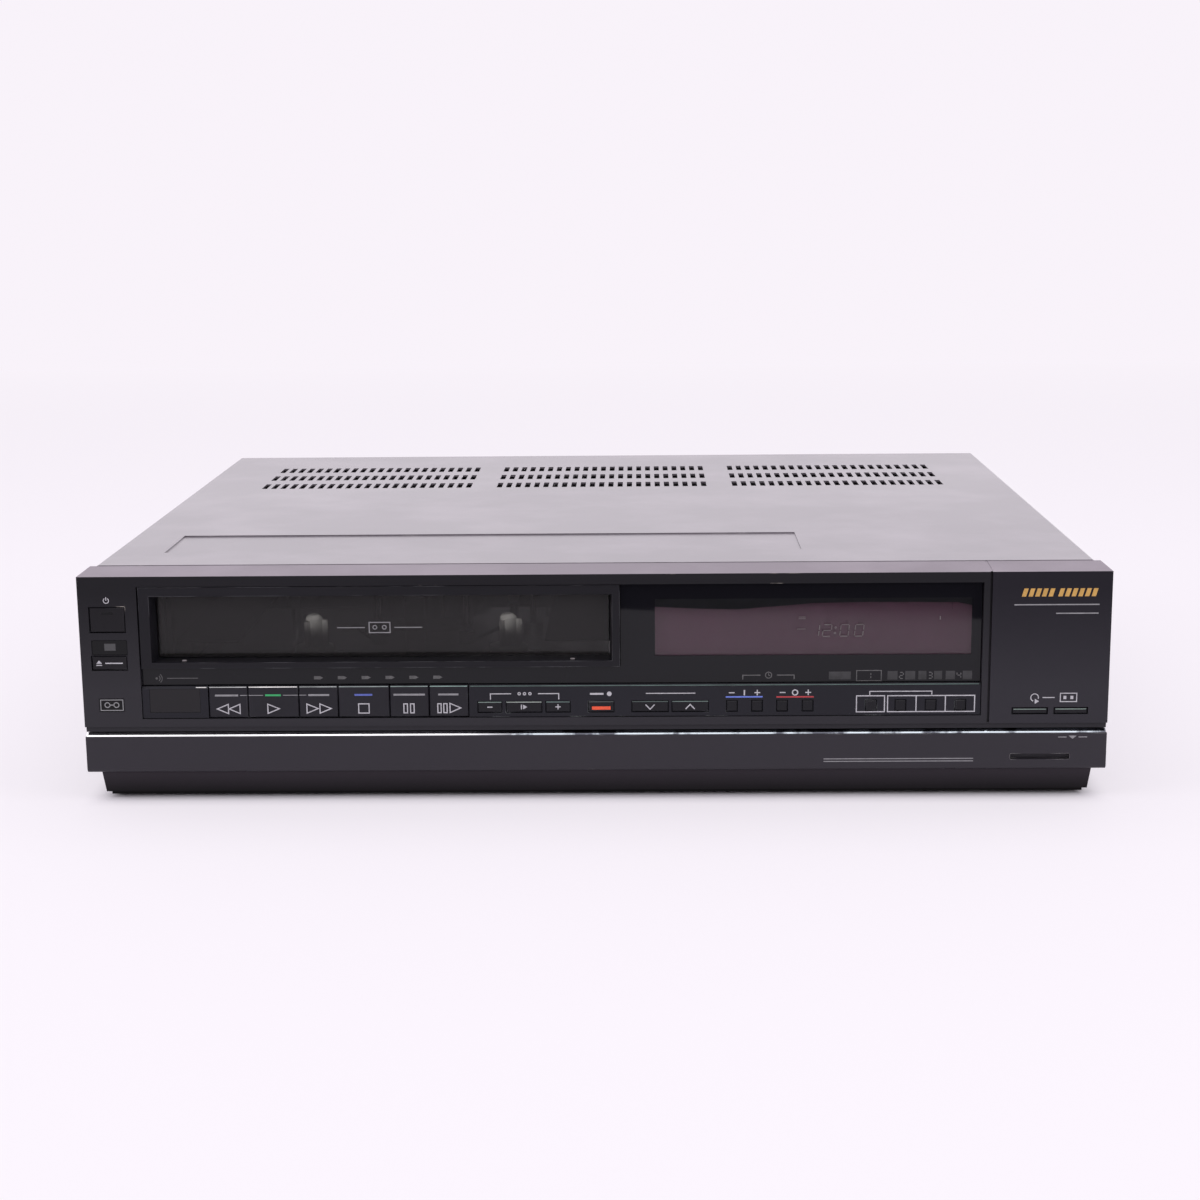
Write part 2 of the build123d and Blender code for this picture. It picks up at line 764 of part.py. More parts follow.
with BuildPart() as key_panel:
    face_back = key_face + key_face_depth
    block(key_panel_x, (key_face, face_back), key_panel_z)
    top_edge = key_panel.edges().filter_by(Axis.X).group_by(Axis.Y)[0].sort_by(Axis.Z)[-1]
    chamfer(top_edge, key_bevel)
    block(
        (key_edges[0] - button_gap, key_edges[-1] + button_gap),
        (0, face_back),
        (0, height),
        Mode.SUBTRACT,
    )
    block(key_panel_x, guide_wall, (panel_lip_z, key_panel_z[1]))
    block(key_panel_x, (plastic_wall, guide_wall[1]), (panel_lip_z, opening_bottom))
    for end in (
        (key_panel_x[0], key_panel_x[0] + 1.5),
        (key_edges[0] - 2.0, key_edges[0] - button_gap),
        (key_edges[-1] + button_gap, key_edges[-1] + 2.0),
        (key_panel_x[1] - 1.5, key_panel_x[1]),
    ):
        block(end, (face_back - 0.1, guide_wall[0]), key_panel_z)
    for low, high in zip(key_edges, key_edges[1:]):
        stem((low + high) / 2, key_stem_z, guide_wall, key_stem + shaft_gap, Mode.SUBTRACT)
    for x in row_buttons.values():
        button_hole(x, row_z, (key_face, face_back))
        stem(sum(x) / 2, row_stem_z, guide_wall, small_stem + shaft_gap, Mode.SUBTRACT)
    block(sensor_x, (key_face, face_back), sensor_z, Mode.SUBTRACT)
    block(
        (sensor_x[0] - sensor_ledge, sensor_x[1] + sensor_ledge),
        (face_back - sensor_ledge, face_back),
        (sensor_z[0] - sensor_ledge, key_panel_z[1] - seat_gap),
        Mode.SUBTRACT,
    )
key_panel.part.label = "key_panel"
export_step(key_panel.part, "parts/key_panel.step")

# =================================================================== sensor window
# Dark window of the remote-control receiver, a plug with a rim that seats from behind.
with BuildPart() as sensor_window:
    block(
        (sensor_x[0] + 0.1, sensor_x[1] - 0.1),
        (key_face + 0.1, face_back - sensor_ledge),
        (sensor_z[0] + 0.1, sensor_z[1] - 0.1),
    )
    block(
        (sensor_x[0] - sensor_ledge, sensor_x[1] + sensor_ledge),
        (face_back - sensor_ledge, face_back),
        (sensor_z[0] - sensor_ledge, sensor_z[1] + 0.5),
    )
sensor_window.part.label = "sensor_window"
export_step(sensor_window.part, "parts/sensor_window.step")

# ================================================================== display window
# L-shaped smoked window: a tall part over the display and a long strip over the lamps.
window_thickness = 2.0
strip_z = (key_z[1] + 0.4, key_z[1] + 7.5)
window_left = opening_left - 2.7
window_edge = 1.5  # how far it reaches behind the edge of the opening
door_frame_x = (opening_left + 0.6, slot_centre_x + 99.85)

with BuildPart() as display_window:
    with BuildSketch(front_plane(plastic_wall)):
        with BuildLine():
            Polyline(
                (window_left, strip_z[0]),
                (opening_right - seat_gap, strip_z[0]),
                (opening_right - seat_gap, opening_top + window_edge),
                (door_frame_x[1] + seat_gap, opening_top + window_edge),
                (door_frame_x[1] + seat_gap, strip_z[1]),
                (window_left, strip_z[1]),
                close=True,
            )
        make_face()
    extrude(amount=-window_thickness)
display_window.part.label = "display_window"
export_step(display_window.part, "parts/display_window.step")

# ===================================================================== front board
# Circuit board behind the controls: a switch behind every stem and six lamps.
board_edge = width / 2 - 7.0
board_low_z = panel_bottom_z + 0.9
board_strip_top = strip_z[1] - 0.4
board_left_tab = opening_left - 1.7
board_right_tab = door_frame_x[1] + 2.0
board_tall_top = opening_top - 1.0
lamp_count = 6
lamp_pitch = 10.0
lamp_x = [opening_left + 75.0 + count * lamp_pitch for count in range(lamp_count)]
lamp_z = strip_z[0] + 2.9
lamp_size = (4.0, 1.8)
lamp_front = 5.2

with BuildPart() as front_board:
    with BuildSketch(front_plane(front_board_behind)):
        with BuildLine():
            Polyline(
                (-board_edge, board_low_z),
                (board_edge, board_low_z),
                (board_edge, board_strip_top),
                (opening_right, board_strip_top),
                (opening_right, board_tall_top),
                (board_right_tab, board_tall_top),
                (board_right_tab, board_strip_top),
                (board_left_tab, board_strip_top),
                (board_left_tab, board_tall_top),
                (-board_edge, board_tall_top),
                close=True,
            )
        make_face()
    extrude(amount=-front_board_thickness)
    for x, z in switch_spots:
        block(
            (x - switch_size / 2, x + switch_size / 2),
            (front_board_behind - switch_height, front_board_behind),
            (z - switch_size / 2, z + switch_size / 2),
        )
    for x in lamp_x:
        block(
            (x - lamp_size[0] / 2, x + lamp_size[0] / 2),
            (lamp_front, front_board_behind),
            (lamp_z - lamp_size[1] / 2, lamp_z + lamp_size[1] / 2),
        )
front_board.part.label = "front_board"
export_step(front_board.part, "parts/front_board.step")

# ==================================================================== display tube
# Flat glass display tube in its holder, standing off the front board.
tube_x = (door_frame_x[1] + 10.8, opening_right - 3.1)
tube_z = (strip_z[1] + 2.1, opening_top - 5.8)
tube_behind = (7.0, 13.0)
tube_rim = 2.0
tube_tip = (4.0, 1.0, 4.0)  # sealed exhaust tip at the upper right
tube_tip_inset = (7.0, 5.0)

with BuildPart() as display_tube:
    block(tube_x, tube_behind, tube_z)
    chamfer(display_tube.faces().sort_by(Axis.Y)[0].edges(), 0.6)
    block(
        (tube_x[0] + tube_rim, tube_x[1] - tube_rim),
        (tube_behind[1], front_board_behind),
        (tube_z[0] + tube_rim, tube_z[1] - tube_rim),
    )
    with Locations(
        (
            tube_x[1] - tube_tip_inset[0],
            front_y + tube_behind[0] - tube_tip[1] / 2,
            tube_z[1] - tube_tip_inset[1],
        )
    ):
        Box(*tube_tip)
display_tube.part.label = "display_tube"
export_step(display_tube.part, "parts/display_tube.step")

# ====================================================================== door frame
# Surround of the cassette slot: tapered mouth, lip behind the bezel, and cheeks that
# carry the door's pins.
frame_face = 0.3
frame_back = 14.5
frame_z = (strip_z[1] + 0.3, opening_top - 0.3)
mouth_half = 96.6
mouth_back_half = 95.6
mouth_z = (frame_z[0] + 2.6, opening_top - 4.2)
frame_lip = 2.3
frame_lip_depth = 1.5
door_half = 95.2
door_behind = (9.0, 11.0)
door_axis_behind = sum(door_behind) / 2
door_bar_radius = 1.4
door_pin_radius = 1.0
door_pin_reach = 2.6
door_axis_z = mouth_z[1] - 0.2
door_bottom_z = mouth_z[0] + 0.45
door_pocket = door_bar_radius + 0.5

with BuildPart() as door_frame:
    block(door_frame_x, (frame_face, frame_back), frame_z)
    block(
        (door_frame_x[0] - frame_lip, door_frame_x[0]),
        (plastic_wall, plastic_wall + frame_lip_depth),
        frame_z,
    )
    block(
        (door_frame_x[0], door_frame_x[1]),
        (plastic_wall, plastic_wall + frame_lip_depth),
        (frame_z[1], frame_z[1] + 1.8),
    )
    with BuildSketch(front_plane(frame_face)):
        with Locations((slot_centre_x, sum(mouth_z) / 2)):
            Rectangle(2 * mouth_half, mouth_z[1] - mouth_z[0])
    with BuildSketch(front_plane(door_behind[0] - 1.0)):
        with Locations((slot_centre_x, sum(mouth_z) / 2)):
            Rectangle(2 * mouth_back_half, mouth_z[1] - mouth_z[0])
    loft(mode=Mode.SUBTRACT)
    block(
        (slot_centre_x - mouth_back_half, slot_centre_x + mouth_back_half),
        (door_behind[0] - 1.0, frame_back),
        (mouth_z[0], door_axis_z + door_pocket),
        Mode.SUBTRACT,
    )
    pin_half = door_half + door_pin_reach + 0.2
    crosswise(
        (slot_centre_x - pin_half, slot_centre_x + pin_half),
        door_axis_behind,
        door_axis_z,
        door_pin_radius + shaft_gap,
        Mode.SUBTRACT,
    )
door_frame.part.label = "door_frame"
export_step(door_frame.part, "parts/door_frame.step")

# =================================================================== cassette door
# Smoked flap in the slot: hangs from a bar along its top and swings in under the bar.
with BuildPart() as cassette_door:
    door_sides = (slot_centre_x - door_half, slot_centre_x + door_half)
    block(door_sides, door_behind, (door_bottom_z, door_axis_z))
    crosswise(door_sides, door_axis_behind, door_axis_z, door_bar_radius)
    crosswise(
        (door_sides[0] - door_pin_reach, door_sides[1] + door_pin_reach),
        door_axis_behind,
        door_axis_z,
        door_pin_radius,
    )
cassette_door.part.label = "cassette_door"
export_step(cassette_door.part, "parts/cassette_door.step")

# ============================================================================ flap
# Full-width flap over the lower controls. Its rounded bottom edge turns on three
# pins, each held by an ear of the bezel that stands in a pocket behind the flap's face.
flap_skin = 0.6  # what is left of the flap in front of an ear
notch_gap = 0.4
pull_x = (right_edge - 40.2, right_edge - 15.4)
pull_z = (flap_bottom_z + 4.4, flap_bottom_z + 6.8)
pull_depth = 2.4
pull_corner = 0.4
tongue_width = 1.2
tongue_depth = 0.9

with BuildPart() as flap:
    with BuildSketch(side_plane(-width / 2)):
        with Locations((hinge_behind, hinge_z)):
            Circle(hinge_behind)
        with Locations((flap_thickness / 2, (hinge_z + flap_top_z) / 2)):
            Rectangle(flap_thickness, flap_top_z - hinge_z)
    extrude(amount=width)
    block(
        (-width / 2, width / 2),
        ((flap_thickness - tongue_width) / 2, (flap_thickness + tongue_width) / 2),
        (flap_top_z - tongue_depth, flap_top_z),
        Mode.SUBTRACT,
    )
    for ear in hinge_ears:
        notch_half = ear_width / 2 + notch_gap
        block(
            (ear - notch_half, ear + notch_half),
            (flap_skin, flap_thickness),
            (flap_bottom_z, hinge_z + ear_round + notch_gap),
            Mode.SUBTRACT,
        )
        crosswise((ear - notch_half, ear + notch_half), hinge_behind, hinge_z, hinge_pin)
    with BuildSketch(front_plane(0)):
        with Locations((sum(pull_x) / 2, sum(pull_z) / 2)):
            RectangleRounded(pull_x[1] - pull_x[0], pull_z[1] - pull_z[0], pull_corner)
    extrude(amount=-pull_depth, mode=Mode.SUBTRACT)
flap.part.label = "flap"
export_step(flap.part, "parts/flap.step")

# ==================================================================== chrome strip
# Bright sloping strip along the flap's top edge, held by a tongue in the flap's groove.
chrome_half = width / 2 - 0.4
chrome_top_z = flap_top_z + 1.55
chrome_behind = (0.3, 1.7, 3.3)  # foot of the slope, its top, and the back

with BuildPart() as chrome_strip:
    with BuildSketch(side_plane(-chrome_half)):
        with BuildLine():
            Polyline(
                (chrome_behind[0], flap_top_z),
                (chrome_behind[0], flap_top_z + 0.25),
                (chrome_behind[1], chrome_top_z),
                (chrome_behind[2], chrome_top_z),
                (chrome_behind[2], flap_top_z),
                close=True,
            )
        make_face()
        with Locations((flap_thickness / 2, flap_top_z - tongue_depth / 2)):
            Rectangle(tongue_width, tongue_depth)
    extrude(amount=2 * chrome_half)
chrome_strip.part.label = "chrome_strip"
export_step(chrome_strip.part, "parts/chrome_strip.step")

# =================================================================== tracking knob
# Small ribbed knob in the pocket behind the flap, turning in the bezel's back wall.
knob_radius = 5.6
knob_behind = (6.0, cavity_back - 0.3)
knob_flutes = 8
knob_flute = 1.0
knob_mark = 0.8

with BuildPart() as tracking_knob:
    from_front(knob_x, knob_z, knob_behind, knob_radius)
    from_front(knob_x, knob_z, (knob_behind[1], bezel_depth - seat_gap), knob_shaft)
    with BuildSketch(front_plane(knob_behind[0])):
        with Locations((knob_x, knob_z)):
            with PolarLocations(knob_radius, knob_flutes):
                Rectangle(knob_flute, knob_flute)
    extrude(amount=knob_behind[0] - knob_behind[1], mode=Mode.SUBTRACT)
    block(
        (knob_x - knob_mark / 2, knob_x + knob_mark / 2),
        (knob_behind[0], knob_behind[0] + knob_mark),
        (knob_z + 1.0, knob_z + knob_radius),
        Mode.SUBTRACT,
    )
tracking_knob.part.label = "tracking_knob"
export_step(tracking_knob.part, "parts/tracking_knob.step")

# ========================================================== tape path: layout in plan
# The drum, capstan and pinch arm: the arm's swing follows from where they stand.
drum_behind = 214.0
drum_radius = 31.0
drum_tilt = 6.0
drum_base_radius = 22.0
drum_low_z = deck_z + 8.0  # tilted lower face of the lower drum, at its middle
drum_split = 14.0  # along the tilted axis
drum_split_gap = 0.3
drum_top = 30.0
drum_shaft = 3.0
capstan_offset = (54.0, 190.0)
capstan_radius = 1.5
capstan_z = (deck_z - 13.0, deck_z + 38.0)
flywheel_z = (deck_z - 12.0, deck_z - 7.0)
flywheel_radius = 22.0
bearing_radius = 5.0
bearing_z = (deck_z - 4.0, deck_z + 8.0)
roller_radius = 8.0
roller_gap = 0.2
roller_z = (deck_z + 12.0, deck_z + 30.0)
roller_core_top = roller_z[1] + 2.0
roller_pin = 1.2
roller_pin_top = roller_core_top + 2.0
pinch_pivot = (84.0, 200.0)
pinch_length = 26.2
pinch_swing = 35.0
pinch_post = 2.0
arm_z = (deck_z + 6.0, deck_z + 7.6)
arm_boss_top = arm_z[0] + 8.0
pinch_post_top = arm_boss_top + 2.0
to_capstan = (capstan_offset[0] - pinch_pivot[0], capstan_offset[1] - pinch_pivot[1])
reach = hypot(*to_capstan)
contact = roller_radius + capstan_radius + roller_gap
bearing_angle = 180 - degrees(
    acos((reach**2 + pinch_length**2 - contact**2) / (2 * reach * pinch_length))
)
approach = degrees(acos(-to_capstan[0] / reach))
arm_angle = bearing_angle + approach - pinch_swing
roller_offset = (
    pinch_pivot[0] + pinch_length * cos(radians(arm_angle)),
    pinch_pivot[1] + pinch_length * sin(radians(arm_angle)),
)
guide_start = (22.0, 168.0)
guide_end = (40.0, 212.0)
guide_pin = 2.0
guide_run = hypot(guide_end[0] - guide_start[0], guide_end[1] - guide_start[1])
reel_post = 1.6
reel_post_top = deck_z + 22.0
reel_seat = 1.0

# ====================================================================== deck plate
# Pressed steel chassis of the tape deck, with its posts: reel posts, lamp post, capstan
# bearing, pinch-arm post, and a slot for each tape guide.
lamp_post_behind = 134.0
lamp_post = (5.0, deck_z + 32.0)
fixed_guides = ((-66.0, 186.0), (44.0, 197.5))
guide_slot_gap = 0.1

with BuildPart() as deck_plate:
    block(deck_x, (deck_front, deck_back), (deck_z, deck_top_z))
    upright(slot_centre_x, lamp_post_behind, (deck_top_z, lamp_post[1]), lamp_post[0])
    for side in (-1, 1):
        spot = slot_centre_x + side * reel_spacing / 2
        upright(spot, reel_behind, (deck_top_z, reel_post_top), reel_post)
        upright(spot, reel_behind, (deck_top_z, deck_top_z + reel_seat), reel_post + 2.5)
        middle = (
            slot_centre_x + side * (guide_start[0] + guide_end[0]) / 2,
            front_y + (guide_start[1] + guide_end[1]) / 2,
        )
        lean = 90 - side * degrees(
            acos((guide_end[1] - guide_start[1]) / guide_run)
        )
        with BuildSketch(Plane.XY.offset(deck_z)):
            with Locations(middle):
                SlotCenterToCenter(
                    guide_run, 2 * (guide_pin + guide_slot_gap), rotation=lean
                )
        extrude(amount=deck_thickness, mode=Mode.SUBTRACT)
    upright(
        slot_centre_x + capstan_offset[0],
        capstan_offset[1],
        bearing_z,
        bearing_radius,
    )
    upright(
        slot_centre_x + capstan_offset[0],
        capstan_offset[1],
        bearing_z,
        capstan_radius + shaft_gap,
        Mode.SUBTRACT,
    )
    upright(
        slot_centre_x + pinch_pivot[0], pinch_pivot[1], (deck_top_z, pinch_post_top), pinch_post
    )
    upright(
        slot_centre_x + pinch_pivot[0],
        pinch_pivot[1],
        (deck_top_z, arm_z[0] - 0.2),
        pinch_post + 2.0,
    )
deck_plate.part.label = "deck_plate"
export_step(deck_plate.part, "parts/deck_plate.step")

# ====================================================================== tape heads
# The erase head to the left of the drum and the sound head to its right, each a block
# on a post that stands on the deck.
head_post = 2.2
head_block = ((5.6, 5.0), (deck_z + 16.0, deck_z + 32.0))

with BuildPart() as tape_heads:
    for across, behind in fixed_guides:
        upright(slot_centre_x + across, behind, (deck_top_z, head_block[1][0]), head_post)
        block(
            (
                slot_centre_x + across - head_block[0][0] / 2,
                slot_centre_x + across + head_block[0][0] / 2,
            ),
            (behind - head_block[0][1] / 2, behind + head_block[0][1] / 2),
            head_block[1],
        )
tape_heads.part.label = "tape_heads"
export_step(tape_heads.part, "parts/tape_heads.step")

# ============================================================================ drum
# Fixed lower drum on its foot, leaning back, with the shaft for the spinning upper drum.
drum_plane = Plane(
    origin=(slot_centre_x, front_y + drum_behind, drum_low_z),
    x_dir=(1, 0, 0),
    z_dir=(0, sin(radians(drum_tilt)), cos(radians(drum_tilt))),
)
rabbet = 0.4

with BuildPart() as lower_drum:
    upright(
        slot_centre_x, drum_behind, (deck_top_z, drum_low_z + 4.0), drum_base_radius
    )
    with BuildSketch(drum_plane):
        Circle(drum_radius)
    extrude(amount=drum_split)
    with BuildSketch(drum_plane):
        Circle(drum_radius + 1)
        Circle(drum_radius - rabbet, mode=Mode.SUBTRACT)
    extrude(amount=3.0, mode=Mode.SUBTRACT)
    with BuildSketch(drum_plane.offset(drum_split)):
        Circle(drum_shaft)
    extrude(amount=drum_top - drum_split + 1.5)
lower_drum.part.label = "lower_drum"
export_step(lower_drum.part, "parts/lower_drum.step")

with BuildPart() as upper_drum:
    with BuildSketch(drum_plane.offset(drum_split + drum_split_gap)):
        Circle(drum_radius)
        Circle(drum_shaft + shaft_gap, mode=Mode.SUBTRACT)
    extrude(amount=drum_top - drum_split - drum_split_gap)
    with BuildSketch(drum_plane.offset(drum_top)):
        Circle(drum_radius - 4.0)
        Circle(8.0, mode=Mode.SUBTRACT)
    extrude(amount=-1.5, mode=Mode.SUBTRACT)
upper_drum.part.label = "upper_drum"
export_step(upper_drum.part, "parts/upper_drum.step")

# =========================================================================== reels
# Two reel tables with three-winged spindles that enter the cassette's hubs.
reel_z = (deck_top_z + reel_seat + 0.1, deck_z + 7.0)
reel_table_radius = 17.0
hub_radius = 9.0
hub_top_z = deck_z + 13.0
spindle_radius = 4.0
spindle_top_z = deck_z + 28.0
spindle_nose = 1.5
wing_reach = 6.5
wing_width = 1.6
wing_drop = 2.5

for name, side in (("supply_reel", -1), ("takeup_reel", 1)):
    with BuildPart() as reel:
        spot = (slot_centre_x + side * reel_spacing / 2, front_y + reel_behind)
        for low, high, radius in (
            (reel_z[0], reel_z[1], reel_table_radius),
            (reel_z[1], hub_top_z, hub_radius),
            (hub_top_z, spindle_top_z, spindle_radius),
        ):
            upright(spot[0], reel_behind, (low, high), radius)
        with BuildSketch(Plane.XY.offset(hub_top_z)):
            with Locations(spot):
                with PolarLocations(wing_reach / 2, 3):
                    Rectangle(wing_reach, wing_width)
        extrude(amount=spindle_top_z - wing_drop - hub_top_z)
        chamfer(reel.edges().group_by(Axis.Z)[-1], spindle_nose)
        upright(
            spot[0],
            reel_behind,
            (reel_z[0], reel_post_top + 0.4),
            reel_post + shaft_gap,
            Mode.SUBTRACT,
        )
    reel.part.label = name
    export_step(reel.part, f"parts/{name}.step")

# ========================================================================= capstan
# Polished shaft that drives the tape, with its flywheel under the deck.
with BuildPart() as capstan:
    across = slot_centre_x + capstan_offset[0]
    upright(across, capstan_offset[1], capstan_z, capstan_radius)
    upright(across, capstan_offset[1], flywheel_z, flywheel_radius)
    upright(
        across, capstan_offset[1], (flywheel_z[1], bearing_z[0] - seat_gap), bearing_radius - 1.0
    )
capstan.part.label = "capstan"
export_step(capstan.part, "parts/capstan.step")

# ======================================================================= pinch arm
# Pressed arm on its post, with the pin that carries the rubber pinch roller.
arm_boss = 4.2
arm_width = 6.0

with BuildPart() as pinch_arm:
    pivot = (slot_centre_x + pinch_pivot[0], front_y + pinch_pivot[1])
    tip = (slot_centre_x + roller_offset[0], front_y + roller_offset[1])
    with BuildSketch(Plane.XY.offset(arm_z[0])):
        with Locations(((pivot[0] + tip[0]) / 2, (pivot[1] + tip[1]) / 2)):
            SlotCenterToCenter(pinch_length, arm_width, rotation=arm_angle)
        with Locations(pivot):
            Circle(arm_boss)
    extrude(amount=arm_z[1] - arm_z[0])
    boss = (arm_z[0], arm_boss_top)
    upright(pivot[0], pinch_pivot[1], boss, arm_boss)
    upright(pivot[0], pinch_pivot[1], boss, pinch_post + shaft_gap, Mode.SUBTRACT)
    upright(tip[0], roller_offset[1], (arm_z[1], roller_pin_top), roller_pin)
    upright(tip[0], roller_offset[1], (arm_z[1], roller_z[0] - 0.3), roller_pin + 1.5)
pinch_arm.part.label = "pinch_arm"
export_step(pinch_arm.part, "parts/pinch_arm.step")

with BuildPart() as pinch_roller:
    across = slot_centre_x + roller_offset[0]
    upright(across, roller_offset[1], roller_z, roller_radius)
    core = (roller_z[0], roller_core_top)
    upright(across, roller_offset[1], core, roller_pin + 1.6)
    upright(across, roller_offset[1], core, roller_pin + shaft_gap, Mode.SUBTRACT)
pinch_roller.part.label = "pinch_roller"
export_step(pinch_roller.part, "parts/pinch_roller.step")

# ===================================================================== tape guides
# Two guide blocks that run along slots in the deck and draw the tape round the drum.
guide_block = 4.0
guide_block_z = (deck_top_z + 0.1, deck_z + 8.0)
guide_roller = 2.6
guide_top_z = deck_z + 32.0
guide_flange = 1.2

for name, side in (("guide_left", -1), ("guide_right", 1)):
    with BuildPart() as guide:
        across = slot_centre_x + side * guide_start[0]
        behind = guide_start[1]
        upright(across, behind, guide_block_z, guide_block)
        upright(across, behind, (deck_z - 0.1, deck_top_z + 0.1), guide_pin)
        upright(across, behind, (deck_z - 1.3, deck_z - 0.1), guide_block)
        upright(across, behind, (guide_block_z[1], guide_top_z), guide_roller)
        for top in (deck_z + 12.0, guide_top_z):
            upright(across, behind, (top - guide_flange, top), guide_roller + 0.8)
    guide.part.label = name
    export_step(guide.part, f"parts/{name}.step")

# =================================================================== loading carriage
# Side plates of the loader, sledge and basket follow outwards from the cassette.
basket_half = cassette_width / 2 + 0.8
basket_sheet = 0.9
carriage_sheet = 1.2
sledge_half = basket_half + basket_sheet + 0.7
loader_half = sledge_half + 2 * carriage_sheet
carriage_pin = 1.6
sledge_pins = (56.0, 130.0)
sledge_pin_z = slot_floor_z + 23.1
basket_pins = (76.0, 110.0)
basket_pin_z = slot_floor_z + 5.1
basket_top_z = slot_floor_z + cassette_thickness + 1.4
sledge_bar_z = (basket_top_z + 0.8, basket_top_z + 2.0)
loader_bar_z = (sledge_bar_z[1] + 0.8, sledge_bar_z[1] + 2.0)
sledge_span = (46.0, 140.0)
loader_span = (42.0, 178.0)


def side_plate(x, thickness, span, z):
    """An upright side plate that grows away from x by a signed thickness."""
    with BuildSketch(side_plane(x)) as plate:
        with Locations((sum(span) / 2, sum(z) / 2)):
            Rectangle(span[1] - span[0], z[1] - z[0])
    extrude(plate.sketch, amount=thickness)


# Loader frame: bolted to the deck, with level slots that carry the sledge's pins.
loader_foot = 3.0
loader_bar = (146.0, 160.0)
loader_window = (90.0, 26.0)
loader_window_z = deck_z + 24.0

with BuildPart() as loader_frame:
    for side in (-1, 1):
        inner = slot_centre_x + side * loader_half
        side_plate(inner, side * carriage_sheet, loader_span, (deck_top_z, loader_bar_z[1]))
        with BuildSketch(side_plane(inner)):
            for pin in sledge_pins:
                with Locations((pin + carriage_travel / 2, sledge_pin_z)):
                    SlotCenterToCenter(carriage_travel, 2 * (carriage_pin + shaft_gap))
            with Locations((sum(loader_span) / 2, loader_window_z)):
                Rectangle(*loader_window)
        extrude(amount=side * carriage_sheet, mode=Mode.SUBTRACT)
        foot = sorted((inner, inner + side * (carriage_sheet + loader_foot)))
        block(foot, loader_span, (deck_top_z, deck_top_z + carriage_sheet))
    bar_half = loader_half + carriage_sheet
    block((slot_centre_x - bar_half, slot_centre_x + bar_half), loader_bar, loader_bar_z)
loader_frame.part.label = "loader_frame"
export_step(loader_frame.part, "parts/loader_frame.step")

# Sledge: slides back on its level slots and carries the basket in upright slots.
sledge_bar = (96.0, 112.0)

with BuildPart() as sledge:
    for side in (-1, 1):
        inner = slot_centre_x + side * sledge_half
        side_plate(
            inner,
            side * carriage_sheet,
            sledge_span,
            (basket_pin_z - carriage_drop - 4.0, sledge_bar_z[1]),
        )
        with BuildSketch(side_plane(inner)):
            for pin in basket_pins:
                with Locations((pin, basket_pin_z - carriage_drop / 2)):
                    SlotCenterToCenter(
                        carriage_drop, 2 * (carriage_pin + shaft_gap), rotation=90
                    )
        extrude(amount=side * carriage_sheet, mode=Mode.SUBTRACT)
        outer = slot_centre_x + side * (sledge_half + carriage_sheet)
        tip = slot_centre_x + side * (loader_half + carriage_sheet + 0.6)
        for pin in sledge_pins:
            crosswise(sorted((outer, tip)), pin, sledge_pin_z, carriage_pin)
    bar_half = sledge_half + carriage_sheet
    block((slot_centre_x - bar_half, slot_centre_x + bar_half), sledge_bar, sledge_bar_z)
sledge.part.label = "sledge"
export_step(sledge.part, "parts/sledge.step")

# Basket: the tray that takes the cassette, open in the middle for the reels.
basket_flange = 28.0
bay_back = bay_front + cassette_depth + 0.6
basket_bridge = (84.0, 104.0)
basket_guide_x = 81.5
basket_guide = (2.0, 6.0)

with BuildPart() as cassette_basket:
    for side in (-1, 1):
        wall = slot_centre_x + side * basket_half
        side_plate(
            wall,
            side * basket_sheet,
            (bay_front, bay_back + basket_sheet),
            (slot_floor_z - basket_sheet, basket_top_z),
        )
        flange = sorted((wall + side * basket_sheet, wall - side * basket_flange))
        block(
            flange,
            (bay_front, bay_back + basket_sheet),
            (slot_floor_z - basket_sheet, slot_floor_z),
        )
        block(
            flange,
            (bay_back, bay_back + basket_sheet),
            (slot_floor_z - basket_sheet, slot_floor_z + 9.0),
        )
        tip = slot_centre_x + side * (sledge_half + carriage_sheet + 0.6)
        for pin in basket_pins:
            crosswise(
                sorted((wall + side * basket_sheet, tip)), pin, basket_pin_z, carriage_pin
            )
        rail = slot_centre_x + side * basket_guide_x
        block(
            (rail - basket_guide[0] / 2, rail + basket_guide[0] / 2),
            (bay_front, bay_back),
            (basket_top_z - basket_sheet, basket_top_z),
        )
    bridge_half = basket_half + basket_sheet
    block(
        (slot_centre_x - bridge_half, slot_centre_x + bridge_half),
        basket_bridge,
        (basket_top_z - basket_sheet, basket_top_z),
    )
cassette_basket.part.label = "cassette_basket"
export_step(cassette_basket.part, "parts/cassette_basket.step")

# ====================================================================== main board
# Main circuit board on four posts: chips, electrolytics, a cooling fin and a shield can.
board_thickness = 1.6
board_top_z = board_z + board_thickness
board_width = board_x[1] - board_x[0]
# Each chip: shares of the board's width and depth to its middle, and its own size.
chips = ((0.20, 0.23, 24.0, 9.0), (0.48, 0.18, 9.0, 24.0), (0.20, 0.45, 28.0, 12.0),
         (0.53, 0.54, 20.0, 20.0))
chip_height = 3.6
# Each capacitor: share of the width, distance from the back edge, radius and height.
capacitors = ((0.78, 60.0, 9.0, 34.0), (0.90, 60.0, 9.0, 34.0), (0.78, 36.0, 6.0, 24.0),
              (0.89, 36.0, 6.0, 24.0), (0.37, 50.0, 5.0, 16.0), (0.45, 50.0, 5.0, 16.0))
sink_x = (board_x[1] - 54.0, board_x[1] - 8.0)
sink_behind = (board_behind[1] - 110.0, board_behind[1] - 85.0)
sink_top_z = board_z + 44.0
sink_plate = 3.0
sink_fins = 6
sink_fin = 1.5
can_x = (board_x[0] + 28.0, board_x[0] + 76.0)
can_behind = (board_behind[1] - 90.0, board_behind[1] - 65.0)
can_height = 18.0

